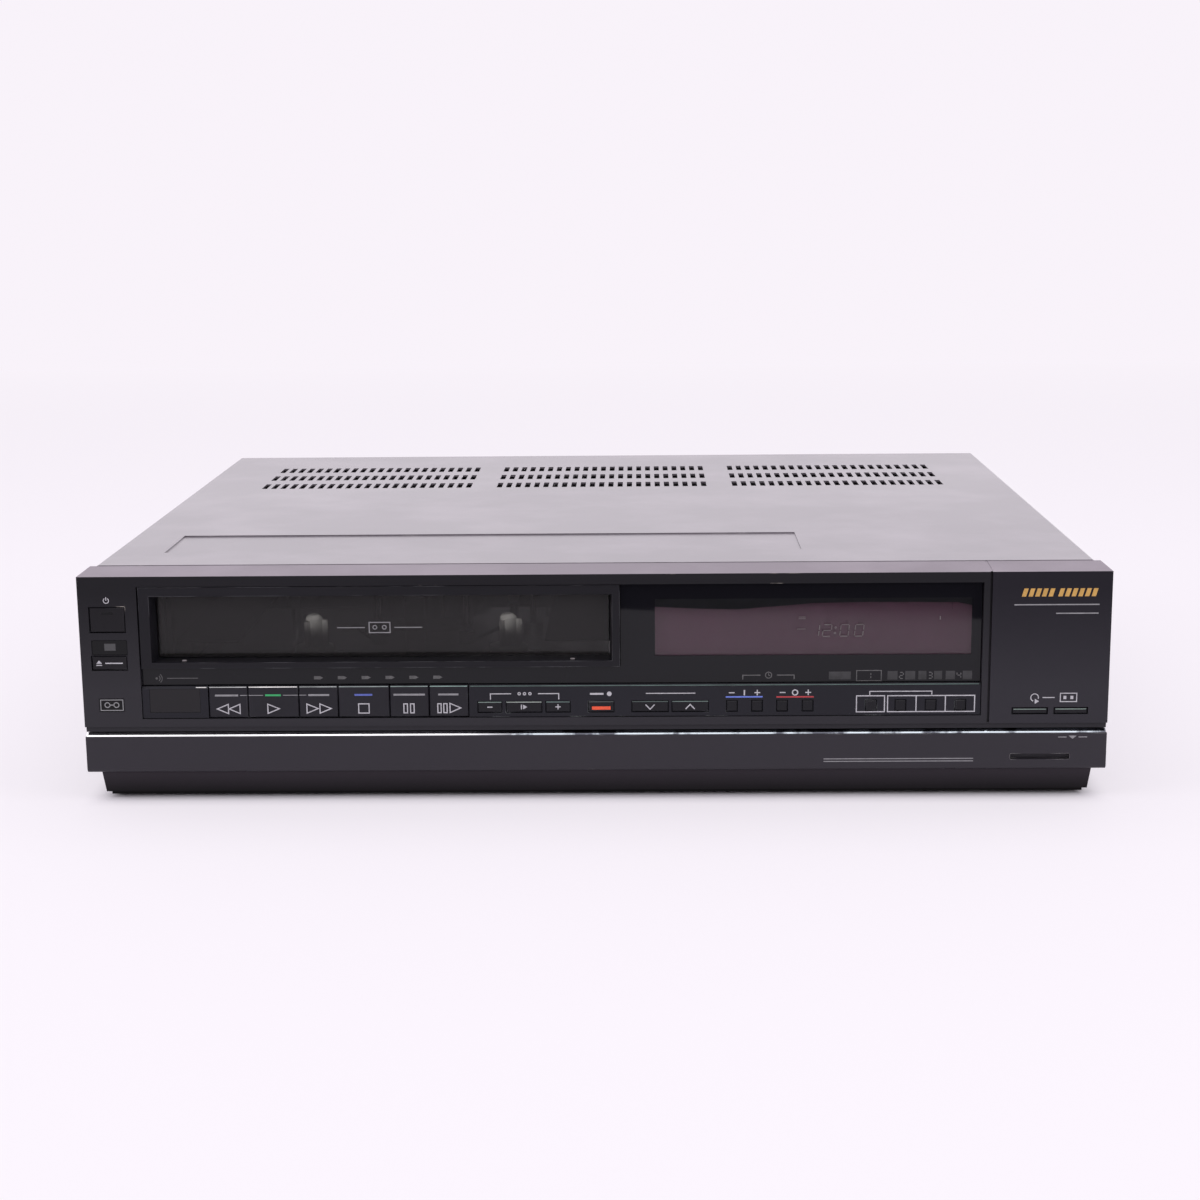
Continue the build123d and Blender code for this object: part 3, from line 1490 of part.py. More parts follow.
with BuildPart() as main_board:
    block(board_x, board_behind, (board_z, board_top_z))
    for share_x, share_back, across, along in chips:
        x = board_x[0] + share_x * board_width
        behind = board_behind[0] + share_back * (board_behind[1] - board_behind[0])
        block(
            (x - across / 2, x + across / 2),
            (behind - along / 2, behind + along / 2),
            (board_top_z, board_top_z + chip_height),
        )
    for share_x, from_back, radius, tall in capacitors:
        x = board_x[0] + share_x * board_width
        upright(x, board_behind[1] - from_back, (board_top_z, board_top_z + tall), radius)
    block(sink_x, (sink_behind[0], sink_behind[0] + sink_plate), (board_top_z, sink_top_z))
    fin_pitch = (sink_x[1] - sink_x[0] - sink_fin) / (sink_fins - 1)
    for fin in range(sink_fins):
        low = sink_x[0] + fin * fin_pitch
        block((low, low + sink_fin), sink_behind, (board_top_z + 4.0, sink_top_z))
    block(can_x, can_behind, (board_top_z, board_top_z + can_height))
main_board.part.label = "main_board"
export_step(main_board.part, "parts/main_board.step")

# =============================================================== power transformer
# Laminated core with its wound bobbin and two fixing feet, on the floor of the pan.
core_x = (right_edge - 87.0, right_edge - 31.0)
core_behind = (back_depth - 75.0, back_depth - 39.0)
core_z = (pan_floor_top, pan_floor_top + 46.5)
bobbin_reach = 10.0
bobbin_margin = 10.0

with BuildPart() as power_transformer:
    block(core_x, core_behind, core_z)
    block(
        (core_x[0] + bobbin_margin, core_x[1] - bobbin_margin),
        (core_behind[0] - bobbin_reach, core_behind[1] + bobbin_reach),
        (core_z[0] + bobbin_margin, core_z[1] - bobbin_margin),
    )
    chamfer(power_transformer.edges().filter_by(Axis.Z).group_by(Axis.Y)[0], 3.0)
    chamfer(power_transformer.edges().filter_by(Axis.Z).group_by(Axis.Y)[-1], 3.0)
    block(
        (core_x[0] - 9.0, core_x[1] + 9.0),
        (core_behind[0] + 8.0, core_behind[1] - 8.0),
        (core_z[0], core_z[0] + 2.0),
    )
power_transformer.part.label = "power_transformer"
export_step(power_transformer.part, "parts/power_transformer.step")
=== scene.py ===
import bpy
import bmesh
import math
from mathutils import Matrix, Vector


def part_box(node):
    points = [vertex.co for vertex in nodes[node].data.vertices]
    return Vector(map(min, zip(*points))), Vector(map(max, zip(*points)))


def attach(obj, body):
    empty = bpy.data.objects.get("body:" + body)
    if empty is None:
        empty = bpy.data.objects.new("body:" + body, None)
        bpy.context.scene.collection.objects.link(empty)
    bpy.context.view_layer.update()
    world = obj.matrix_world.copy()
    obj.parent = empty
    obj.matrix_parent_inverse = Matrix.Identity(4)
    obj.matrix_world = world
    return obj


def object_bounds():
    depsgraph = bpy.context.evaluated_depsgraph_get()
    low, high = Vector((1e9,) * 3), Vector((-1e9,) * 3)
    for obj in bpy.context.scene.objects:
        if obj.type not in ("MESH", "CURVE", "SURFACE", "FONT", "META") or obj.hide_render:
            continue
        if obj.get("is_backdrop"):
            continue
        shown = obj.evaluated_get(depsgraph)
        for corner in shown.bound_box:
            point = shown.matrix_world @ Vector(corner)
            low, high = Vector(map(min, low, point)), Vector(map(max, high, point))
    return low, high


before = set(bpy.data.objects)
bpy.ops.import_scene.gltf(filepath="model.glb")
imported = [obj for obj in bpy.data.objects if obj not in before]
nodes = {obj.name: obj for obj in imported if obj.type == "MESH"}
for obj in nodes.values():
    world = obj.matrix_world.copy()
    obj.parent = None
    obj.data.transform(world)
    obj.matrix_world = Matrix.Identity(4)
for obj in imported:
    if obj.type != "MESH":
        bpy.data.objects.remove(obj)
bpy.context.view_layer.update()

# ------------------------------------------------------------- camera and studio
# A long lens looks down a little on the recorder, which stands on a wide white floor
# that fades into white haze. The floor shows its own shading only near the recorder.
lens_mm, sensor_mm, nearest_shown = 63.143, 36.0, 0.02
camera_place = (0.01966, -1.03572, 0.26344)
camera_pitch, camera_yaw, camera_roll = 11.696, 1.108, -0.5458
floor_reach, card_reach = 9.0, 4.0
uneven_scale, uneven_tone, sheet_shine = 1.3, 0.985, 0.1
studio_white, haze_white = (0.90, 0.865, 0.915), (0.945, 0.895, 0.955)
nearest_glow, haze_near, haze_far = 0.6, 0.3, 1.6
shade_half, shade_fade = (0.206, 0.1755), 0.012

camera_data = bpy.data.cameras.new("camera")
camera_data.sensor_width = sensor_mm
camera_data.lens = lens_mm
camera_data.clip_start = nearest_shown
camera = bpy.data.objects.new("camera", camera_data)
bpy.context.collection.objects.link(camera)
camera.matrix_world = (
    Matrix.Translation(camera_place)
    @ Matrix.Rotation(math.radians(camera_yaw), 4, "Z")
    @ Matrix.Rotation(math.radians(90 - camera_pitch), 4, "X")
    @ Matrix.Rotation(math.radians(camera_roll), 4, "Z")
)
bpy.context.scene.camera = camera
bpy.context.scene.view_settings.view_transform = "Standard"


def studio_sheet(name, edges, left, right, colour, rough):
    """A sheet between two edges, each (y, z, slope), with a faintly uneven tone."""
    mesh = bpy.data.meshes.new(name)
    corners = [(x, y + x * slope, z) for y, z, slope in edges for x in (left, right)]
    mesh.from_pydata(corners, [], [(0, 1, 3, 2)])
    sheet = bpy.data.objects.new(name, mesh)
    bpy.context.collection.objects.link(sheet)
    paint = bpy.data.materials.new(name)
    paint.use_nodes = True
    tree = paint.node_tree
    shader = tree.nodes["Principled BSDF"]
    shader.inputs["Roughness"].default_value = rough
    shader.inputs["Specular IOR Level"].default_value = sheet_shine
    place = tree.nodes.new("ShaderNodeTexCoord")
    cloud = tree.nodes.new("ShaderNodeTexNoise")
    cloud.inputs["Scale"].default_value = uneven_scale
    ramp = tree.nodes.new("ShaderNodeValToRGB")
    ramp.color_ramp.elements[0].color = (*[c * uneven_tone for c in colour], 1)
    ramp.color_ramp.elements[1].color = (*colour, 1)
    tree.links.new(place.outputs["Object"], cloud.inputs["Vector"])
    tree.links.new(cloud.outputs["Fac"], ramp.inputs["Fac"])
    tree.links.new(ramp.outputs["Color"], shader.inputs["Base Color"])
    mesh.materials.append(paint)
    sheet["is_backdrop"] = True
    return sheet


def along(tree, axis, kind="Object"):
    """Where a point lies along an axis or, for "Normal", how far its face turns to it."""
    place = next(n for n in tree.nodes if n.type == "TEX_COORD")
    split = tree.nodes.new("ShaderNodeSeparateXYZ")
    tree.links.new(place.outputs[kind], split.inputs["Vector"])
    return split.outputs[axis]


def joined(tree, kind, *values, clamp=False):
    """The result of a math node over values, each a number or another node's output."""
    node = tree.nodes.new("ShaderNodeMath")
    node.operation = kind
    node.use_clamp = clamp
    for socket, value in zip(node.inputs, values):
        if isinstance(value, float):
            socket.default_value = value
        else:
            tree.links.new(value, socket)
    return node.outputs["Value"]


def fade(tree, value, start, end, low=0.0, high=1.0):
    """Runs from low to high while value runs from start to end."""
    span = tree.nodes.new("ShaderNodeMapRange")
    span.inputs["From Min"].default_value = start
    span.inputs["From Max"].default_value = end
    span.inputs["To Min"].default_value = low
    span.inputs["To Max"].default_value = high
    tree.links.new(value, span.inputs["Value"])
    return span.outputs["Result"]


def rays_to_eye(tree):
    """One for rays that reach the eye straight, by gloss or through glass, else nought."""
    rays = tree.nodes.new("ShaderNodeLightPath").outputs
    open_rays = joined(tree, "ADD", rays["Is Camera Ray"], rays["Is Glossy Ray"], clamp=True)
    return joined(tree, "ADD", open_rays, rays["Is Transmission Ray"], clamp=True)


def show_mixed(tree, share, first, second):
    """Sends two shaders to the output, mixed by a share of the second."""
    mix = tree.nodes.new("ShaderNodeMixShader")
    tree.links.new(share, mix.inputs["Fac"])
    tree.links.new(first, mix.inputs[1])
    tree.links.new(second, mix.inputs[2])
    output = next(n for n in tree.nodes if n.type.startswith("OUTPUT"))
    tree.links.new(mix.outputs["Shader"], output.inputs["Surface"])


floor = studio_sheet("floor", ((-floor_reach, 0.0, 0.0), (floor_reach, 0.0, 0.0)),
                     -floor_reach, floor_reach, studio_white, rough=0.7)
tree = floor.data.materials[0].node_tree
beyond = [joined(tree, "SUBTRACT", joined(tree, "ABSOLUTE", along(tree, axis)), half)
          for axis, half in zip("XY", shade_half)]
away = joined(tree, "MAXIMUM", *beyond)
glow = joined(tree, "MULTIPLY", fade(tree, away, 0.0, shade_fade),
              fade(tree, away, haze_near, haze_far, low=nearest_glow))
haze = tree.nodes.new("ShaderNodeEmission")
haze.inputs["Color"].default_value = (*haze_white, 1)
show_mixed(tree, joined(tree, "MULTIPLY", glow, rays_to_eye(tree)),
           tree.nodes["Principled BSDF"].outputs["BSDF"], haze.outputs["Emission"])

# Three dark cards that only reflections see: the floor in front of the table, a slanted
# flag on its right half and the unlit room.
room_front_y, room_top_z, card_black = -3.0, 1.4, (0.012, 0.012, 0.014)
table_edge_y, table_card_z = -0.60, 0.001
flag_edge_y, flag_edge_slope, flag_left, flag_card_z = -0.5565, 0.160, 0.006, 0.002
for name, edges, left in (
    ("past_table", ((room_front_y, table_card_z, 0.0), (table_edge_y, table_card_z, 0.0)),
     -card_reach),
    ("flag", ((room_front_y, flag_card_z, 0.0), (flag_edge_y, flag_card_z, flag_edge_slope)),
     flag_left),
    ("dark_room", ((room_front_y, room_top_z, 0.0), (room_front_y, 0.0, 0.0)), -card_reach),
):
    card = studio_sheet(name, edges, left, card_reach, card_black, rough=0.9)
    card.visible_camera = False
    card.visible_diffuse = False
    card.visible_shadow = False


def hang_lamp(name, kind, power, place, target):
    """A lamp at a place, turned towards a target."""
    lamp_data = bpy.data.lights.new(name, kind)
    lamp_data.energy = power
    lamp = bpy.data.objects.new(name, lamp_data)
    bpy.context.collection.objects.link(lamp)
    lamp.location = place
    aim = Vector(target) - Vector(place)
    lamp.rotation_euler = aim.to_track_quat("-Z", "Y").to_euler()
    return lamp_data


# Four soft boxes, each with its place, its width and height, and its power. Two small
# spots pick out the reel spindles behind the smoked door.
soft_box_target = (0, 0, 0.05)
for name, place, size, power in (
    ("overhead_box", (0.0, 0.0, 1.9), (3.4, 2.4), 21.0),
    ("left_box", (-1.9, -0.7, 1.1), (1.2, 1.2), 8.0),
    ("right_box", (1.9, -0.8, 1.2), (1.2, 1.2), 7.0),
    ("front_box", (0.1, -2.3, 1.1), (1.8, 0.9), 10.0),
):
    box = hang_lamp(name, "AREA", power, place, soft_box_target)
    box.shape = "RECTANGLE"
    box.size, box.size_y = size
spot_power, spot_degrees, spot_soft_edge, spot_radius = 0.26, 22, 0.6, 0.004
spot_y, spot_z, spindle_y, spindle_z = -0.128, 0.083, -0.064, 0.0615
for name, x in (("supply_spot", -0.1347), ("takeup_spot", -0.0427)):
    spot = hang_lamp(name, "SPOT", spot_power, (x, spot_y, spot_z), (x, spindle_y, spindle_z))
    spot.spot_size = math.radians(spot_degrees)
    spot.spot_blend = spot_soft_edge
    spot.shadow_soft_size = spot_radius

# The room lights everything softly, and looks like the haze where it is seen.
room_colour, room_light = (0.96, 0.92, 0.98), 0.64
world = bpy.data.worlds.new("studio")
world.use_nodes = True
bpy.context.scene.world = world
tree = world.node_tree
room = tree.nodes["Background"]
room.inputs["Color"].default_value = (*room_colour, 1)
room.inputs["Strength"].default_value = room_light
behind = tree.nodes.new("ShaderNodeBackground")
behind.inputs["Color"].default_value = (*haze_white, 1)
show_mixed(tree, rays_to_eye(tree), room.outputs["Background"], behind.outputs["Background"])

# -------------------------------------------------------------- base pan and feet
# One injection-moulded tray in charcoal plastic with a fine spark grain, scuffed along its
# lower edges and darker towards its bottom by painted shade, standing on four soft black
# rubber feet pushed in from below.
# Colour of the dust on upward faces; on the cover and the bezel top it also paints a pale
# sheen.
dust_and_sheen_colour, dust_and_sheen_step = (0.45, 0.39, 0.45), 0.002
edge_samples, grain_depth = 4, 0.00005
sharp_edge = math.radians(40)


def blended(tree, base, top, amount):
    """A colour that gives way to a second, fixed one by an amount."""
    mix = tree.nodes.new("ShaderNodeMix")
    mix.data_type = "RGBA"
    tree.links.new(amount, mix.inputs["Factor"])
    tree.links.new(base, mix.inputs["A"])
    mix.inputs["B"].default_value = (*top, 1)
    return mix.outputs["Result"]


def finish(name, colour, grain, bump, rough, spread=0.10, cloud=9.0, edge_wear_and_glint=None,
           dust_and_sheen=0.0, metal=0.0, coat=0.0, coat_ior=1.5, level=0.5, edge_mark_width=0.0005,
           edge_mark_from=0.52, even_dust_and_sheen=0.0, through=0.0, dust_and_sheen_from=-1.0):
    """A finish with its grain, uneven shine, drifting tone, rubbed edges and dust; on some
    parts the rubbed edges are also painted highlights and the dust also a painted sheen.
    """
    paint = bpy.data.materials.new(name)
    paint.use_nodes = True
    tree = paint.node_tree
    shader = tree.nodes["Principled BSDF"]
    shader.inputs["Metallic"].default_value = metal
    shader.inputs["Specular IOR Level"].default_value = level
    shader.inputs["Coat Weight"].default_value = coat
    shader.inputs["Coat Roughness"].default_value = rough * 0.7
    shader.inputs["Coat IOR"].default_value = coat_ior
    shader.inputs["Alpha"].default_value = 1.0 - through
    place = tree.nodes.new("ShaderNodeTexCoord")

    def noise(scale, detail):
        texture = tree.nodes.new("ShaderNodeTexNoise")
        texture.inputs["Scale"].default_value = scale
        texture.inputs["Detail"].default_value = detail
        tree.links.new(place.outputs["Object"], texture.inputs["Vector"])
        return texture.outputs["Fac"]

    tone = noise(cloud, detail=5.0)
    drift = tree.nodes.new("ShaderNodeValToRGB")
    darkest, lightest = drift.color_ramp.elements
    darkest.position, lightest.position = 0.3, 0.7
    darkest.color = (*[c * (1 - spread) for c in colour], 1)
    lightest.color = (*[c * (1 + spread) for c in colour], 1)
    tree.links.new(tone, drift.inputs["Fac"])
    shown = drift.outputs["Color"]
    # Pale marks in patches on sharp edges: rubbed wear, and on the key panel and door frame
    # also a painted highlight.
    if edge_wear_and_glint:
        rounded = tree.nodes.new("ShaderNodeBevel")
        rounded.samples = edge_samples
        rounded.inputs["Radius"].default_value = edge_mark_width
        surface = tree.nodes.new("ShaderNodeNewGeometry")
        agree = tree.nodes.new("ShaderNodeVectorMath")
        agree.operation = "DOT_PRODUCT"
        tree.links.new(rounded.outputs["Normal"], agree.inputs[0])
        tree.links.new(surface.outputs["Normal"], agree.inputs[1])
        at_edge = fade(tree, agree.outputs["Value"], start=0.98, end=0.80)
        in_patch = fade(tree, noise(scale=75.0, detail=6.0), edge_mark_from, edge_mark_from + 0.1)
        edge_wear_and_glint_mask = joined(tree, "MULTIPLY", at_edge, in_patch, clamp=True)
        shown = blended(tree, shown, edge_wear_and_glint, edge_wear_and_glint_mask)
    # Dust settles on upward faces; where it lies strong and even, on the bezel top and the
    # cover, it is also a painted sheen.
    if dust_and_sheen:
        dust_and_sheen_amount = fade(tree, noise(scale=26.0, detail=8.0), 0.42, 0.75, even_dust_and_sheen, dust_and_sheen)
        dust_and_sheen_mask = joined(tree, "MULTIPLY", along(tree, "Z", "Normal"), dust_and_sheen_amount, clamp=True)
        if dust_and_sheen_from > 0:
            top_only = fade(tree, along(tree, "Z"), dust_and_sheen_from - dust_and_sheen_step, dust_and_sheen_from)
            dust_and_sheen_mask = joined(tree, "MULTIPLY", dust_and_sheen_mask, top_only, clamp=True)
        shown = blended(tree, shown, dust_and_sheen_colour, dust_and_sheen_mask)
    tree.links.new(shown, shader.inputs["Base Color"])
    tree.links.new(fade(tree, tone, 0.3, 0.7, rough * 0.85, rough * 1.18),
                   shader.inputs["Roughness"])
    relief = tree.nodes.new("ShaderNodeBump")
    relief.inputs["Strength"].default_value = bump
    relief.inputs["Distance"].default_value = grain_depth
    tree.links.new(noise(grain, detail=2.0), relief.inputs["Height"])
    tree.links.new(relief.outputs["Normal"], shader.inputs["Normal"])
    return paint


def tint_along(paint, axis, start, end, colour):
    """Brings a second colour into a finish, none at start and all at end of an axis."""
    tree = paint.node_tree
    base = tree.nodes["Principled BSDF"].inputs["Base Color"]
    share = fade(tree, along(tree, axis), start, end)
    tree.links.new(blended(tree, base.links[0].from_socket, colour, share), base)


def dress(names, paint, softened=0.0):
    """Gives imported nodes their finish, and breaks their sharp edges by a small radius."""
    for name in names:
        node = nodes[name]
        node.data.materials.clear()
        node.data.materials.append(paint)
        if softened:
            edge = node.modifiers.new("broken_edges", "BEVEL")
            edge.width = softened
            edge.segments = 2
            edge.limit_method = "ANGLE"
            edge.angle_limit = sharp_edge


pan_plastic = finish("pan_plastic", (0.0325, 0.0268, 0.0340), grain=2600, bump=0.5,
                     rough=0.50, edge_wear_and_glint=(0.05, 0.045, 0.05), dust_and_sheen=0.06, level=0.14)
# Painted shade: the tray's colour darkens from the first height down to the second.
pan_shade_start_z, pan_shade_full_z = 0.0115, 0.0020
tint_along(pan_plastic, "Z", pan_shade_start_z, pan_shade_full_z, (0.0030, 0.0024, 0.0030))
dress(["base_pan"], pan_plastic)
dress(["feet"], finish("foot_rubber", (0.012, 0.012, 0.013), grain=3000, bump=0.7,
                       rough=0.72, dust_and_sheen=0.15))

# ------------------------------------------------------ top cover and rear panel
# Folded steel sheets, sprayed with a low-sheen charcoal enamel that shows smears, a light film
# of dust on the top that is partly a painted pale sheen, and a few rubbed spots along the
# folds.
cover_paint = finish("cover_enamel", (0.132, 0.114, 0.136), grain=3600, bump=0.30,
                     rough=0.34, spread=0.05, cloud=4.0, edge_wear_and_glint=(0.30, 0.28, 0.29),
                     dust_and_sheen=0.30, even_dust_and_sheen=0.082, coat=0.8, coat_ior=1.6, level=0.7,
                     edge_mark_from=0.56)
dress(["top_cover", "rear_panel"], cover_paint)

# ------------------------------------------------------------------------- screws
# Blackened cross-head screws, four through the cover's sides and three at the back.
dress(["cover_screws"], finish("black_steel", (0.05, 0.05, 0.053), grain=2200, bump=0.3,
                               rough=0.32, metal=0.9, edge_wear_and_glint=(0.35, 0.34, 0.33),
                               edge_mark_width=0.0003))

# ------------------------------------------------------------------- rear sockets
# Phono sockets and the mains inlet in black mouldings; the aerial barrels are tinned,
# like the tuner's can that they stand on.
dress(["av_jacks", "mains_inlet"],
      finish("socket_moulding", (0.014, 0.014, 0.016), grain=2400, bump=0.3, rough=0.36))
dress(["tuner_box"], finish("tinned_can", (0.55, 0.55, 0.53), grain=900, bump=0.2,
                            rough=0.34, metal=1.0, spread=0.2, cloud=60.0))

# --------------------------------------------------------------------- tape deck
# Zinc-plated pressings, turned aluminium drums, polished pins, off-white reel tables
# and a ground rubber pinch roller; the carriage that takes the cassette is coated black.
dress(["deck_plate", "pinch_arm"],
      finish("zinc_plate", (0.20, 0.195, 0.20), grain=2800, bump=0.15, rough=0.40,
             metal=1.0, spread=0.18, cloud=40.0))
dress(["cassette_basket", "loader_frame", "sledge"],
      finish("black_coating", (0.012, 0.012, 0.013), grain=2000, bump=0.3, rough=0.50,
             level=0.2, edge_wear_and_glint=(0.10, 0.10, 0.10)))
dress(["lower_drum", "upper_drum"],
      finish("turned_aluminium", (0.72, 0.72, 0.73), grain=1500, bump=0.12, rough=0.20,
             metal=1.0))
dress(["capstan", "guide_left", "guide_right", "tape_heads"],
      finish("polished_steel", (0.66, 0.66, 0.68), grain=900, bump=0.05, rough=0.14,
             metal=1.0))
dress(["supply_reel", "takeup_reel"],
      finish("reel_moulding", (0.80, 0.77, 0.73), grain=1800, bump=0.2, rough=0.40,
             spread=0.04))
dress(["pinch_roller"],
      finish("ground_rubber", (0.018, 0.017, 0.018), grain=2600, bump=0.6, rough=0.70))

# ------------------------------------------------------ circuit boards, transformer
# Green laminate whose parts stand up dark above it, a dark board behind the front and
# a transformer dipped in brown varnish.
laminate = finish("board_laminate", (0.016, 0.050, 0.026), grain=3000, bump=0.15,
                  rough=0.40, level=0.3)
board_thickness, part_step = 0.0018, 0.0004
board_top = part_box("main_board")[0].z + board_thickness
tint_along(laminate, "Z", board_top, board_top + part_step, (0.022, 0.022, 0.026))
dress(["main_board"], laminate)
dress(["front_board"], finish("lamp_board", (0.012, 0.011, 0.012), grain=3200, bump=0.1,
                              rough=0.55, level=0.15))
dress(["power_transformer"], finish("varnished_core", (0.05, 0.035, 0.03), grain=900,
                                    bump=0.5, rough=0.42))

# ------------------------------------------------------------- bezel, right panel
# Charcoal mouldings with a satin lacquer, chipped to a pale undercoat along the front edge of
# the top; the panel to the right of the seam is a separate moulding. Their top faces are pale
# with dust and a painted sheen, and they grow lighter towards the bottom by painted bounce
# light.
lacquer = {
    "grain": 3200, "bump": 0.25, "rough": 0.38, "spread": 0.05, "cloud": 6.0, "level": 0.20,
    "edge_wear_and_glint": (0.62, 0.56, 0.50), "edge_mark_width": 0.0007,
    "dust_and_sheen": 0.70, "even_dust_and_sheen": 0.56, "dust_and_sheen_from": 0.090,
}
# Painted light: the lacquer turns lighter from the first height down to the second, where the
# floor's bounce falls.
bounce_light_from_z, bounce_light_full_z = 0.0900, 0.0480
bezel_paint = finish("bezel_lacquer", (0.0112, 0.0104, 0.0134), edge_mark_from=0.66, **lacquer)
tint_along(bezel_paint, "Z", bounce_light_from_z, bounce_light_full_z, (0.0262, 0.0245, 0.0300))
dress(["front_bezel"], bezel_paint, softened=0.0003)
panel_paint = finish("panel_lacquer", (0.0122, 0.0105, 0.0160), edge_mark_from=0.70, **lacquer)
tint_along(panel_paint, "Z", bounce_light_from_z, bounce_light_full_z, (0.0275, 0.0255, 0.0325))
dress(["right_panel"], panel_paint, softened=0.0003)


def solid_piece(name, outlines, way, paint):
    """A piece made of flat outlines, in metres, pulled out along a way."""
    form = bmesh.new()
    for outline in outlines:
        form.faces.new([form.verts.new(point) for point in outline])
    bmesh.ops.remove_doubles(form, verts=form.verts[:], dist=1e-6)
    pulled = bmesh.ops.extrude_face_region(form, geom=form.faces[:], use_keep_orig=True)
    moved = [part for part in pulled["geom"] if isinstance(part, bmesh.types.BMVert)]
    bmesh.ops.translate(form, vec=way, verts=moved)
    bmesh.ops.recalc_face_normals(form, faces=form.faces[:])
    mesh = bpy.data.meshes.new(name)
    form.to_mesh(mesh)
    form.free()
    mesh.materials.append(paint)
    piece = bpy.data.objects.new(name, mesh)
    bpy.context.collection.objects.link(piece)
    return piece


# A rib of the bezel closes the joint beside the right-hand panel where it runs over the
# top, a hair lower than the two mouldings, and a small web closes its foot.
rib_width, rib_gap = 0.0009, 0.00005
rib_side = ((0.0012, 0.09722), (0.0159, 0.09722), (0.0159, 0.09868), (0.0012, 0.09724))
foot_side = ((0.0002, 0.0327), (0.0011, 0.0327), (0.0011, 0.0332), (0.0002, 0.0332))
panel_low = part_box("right_panel")[0]
joint_rib = solid_piece(
    "joint_rib",
    [[(panel_low.x - rib_gap, panel_low.y + behind, z) for behind, z in side]
     for side in (rib_side, foot_side)],
    (-rib_width, 0, 0), bezel_paint)
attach(joint_rib, "chassis")

# ------------------------------------------------------- cassette slot and its door
# Tapered surround in grained plastic, whose pale rubbed edges are wear and partly a painted
# highlight along the top of the opening; the door is smoked acrylic hung from a top bar.
dress(["door_frame"],
      finish("frame_plastic", (0.0105, 0.0098, 0.0130), grain=3000, bump=0.30, rough=0.34,
             level=0.2, edge_wear_and_glint=(0.11, 0.11, 0.12), edge_mark_width=0.0004, edge_mark_from=0.48),
      softened=0.00025)
dress(["cassette_door"],
      finish("door_acrylic", (0.0130, 0.0110, 0.0120), grain=30, bump=0.10, rough=0.09,
             spread=0.08, cloud=14.0, through=0.38, level=0.4))

# ------------------------------------------------------- display window and tube
# L-shaped black acrylic window with one clear field, in front of a flat display tube
# with a pinkish filter; both moulded faces are faintly wavy in their reflections.
clear_field = (("X", 0.0259, 0.1580), ("Z", 0.0614, 0.0860))
window_paint = finish("window_acrylic", (0.0060, 0.0058, 0.0080), grain=20, bump=0.8,
                      rough=0.03, spread=0.03, level=0.24)
tree = window_paint.node_tree
inside = [joined(tree, "COMPARE", along(tree, axis), (low + high) / 2, (high - low) / 2)
          for axis, low, high in clear_field]
back_face = joined(tree, "GREATER_THAN", along(tree, "Y", "Normal"), 0.5)
clear = joined(tree, "MAXIMUM", joined(tree, "MULTIPLY", *inside), back_face)
tree.links.new(joined(tree, "SUBTRACT", 1.0, clear),
               tree.nodes["Principled BSDF"].inputs["Alpha"])
dress(["display_window"], window_paint)
dress(["display_tube"], finish("tube_filter", (0.048, 0.023, 0.035), grain=20, bump=0.8,
                               rough=0.09, cloud=30.0, spread=0.06, level=0.50))

# ---------------------------------------------------------- key panel and sensor
# Long satin strip whose pale green-grey rubbed edges are partly a painted highlight along its
# top bevel, and the receiver's dark window.
dress(["key_panel"],
      finish("strip_plastic", (0.0170, 0.0165, 0.0218), grain=3000, bump=0.25, rough=0.34,
             level=0.15, edge_wear_and_glint=(0.35, 0.38, 0.37), edge_mark_width=0.0003, edge_mark_from=0.60),
      softened=0.0002)
dress(["sensor_window"], finish("sensor_acrylic", (0.0160, 0.0146, 0.0168), grain=40,
                                bump=0.10, rough=0.16, level=0.2))

# ------------------------------------------------------------------ keys, buttons
# Satin charcoal caps, polished by fingers on their faces and rubbed at the corners.
cap_surface = {"grain": 2600, "bump": 0.22, "cloud": 60.0, "edge_mark_width": 0.0003}
cap_rubbing = {"edge_wear_and_glint": (0.12, 0.12, 0.13), "edge_mark_from": 0.54}
dress(["rewind_key", "play_key", "fast_forward_key", "stop_key", "pause_key",
       "frame_advance_key"],
      finish("key_plastic", (0.0190, 0.0180, 0.0228), rough=0.32, level=0.16,
             **cap_surface, **cap_rubbing))
dress(["slow_minus_button", "slow_play_button", "slow_plus_button", "record_button",
       "channel_down_button", "channel_up_button", "on_minus_button", "on_plus_button",
       "off_minus_button", "off_plus_button", "select_button_1", "select_button_2",
       "select_button_3", "select_button_4", "reset_button", "memory_button",
       "tracking_knob"],
      finish("button_plastic", (0.0130, 0.0125, 0.0155), rough=0.32, level=0.16,
             **cap_surface, **cap_rubbing))
dress(["power_button", "eject_button"],
      finish("side_caps", (0.0115, 0.0105, 0.0130), rough=0.33, level=0.2,
             edge_wear_and_glint=(0.10, 0.10, 0.11), **cap_surface))

# ------------------------------------------------------------- symbols on the keys
# Pad-printed transport symbols in off-white ink, a hair proud of each cap, with a
# coloured rule for play, stop and record. Prints are drawn in millimetres.
face_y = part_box("front_bezel")[0][1]
cap_behind = 0.2
ink_height = 0.04
fine_line = 0.45
icon_low, icon_high = 38.1, 42.4
block_low, block_high = 38.2, 42.1
rule_low, rule_high = 45.7, 46.5
hair_low, hair_high = 45.95, 46.25


def bar(left, right, low, high):
    """One rectangle of ink, in millimetres across and up."""
    return [[(left, low), (right, low), (right, high), (left, high)]]


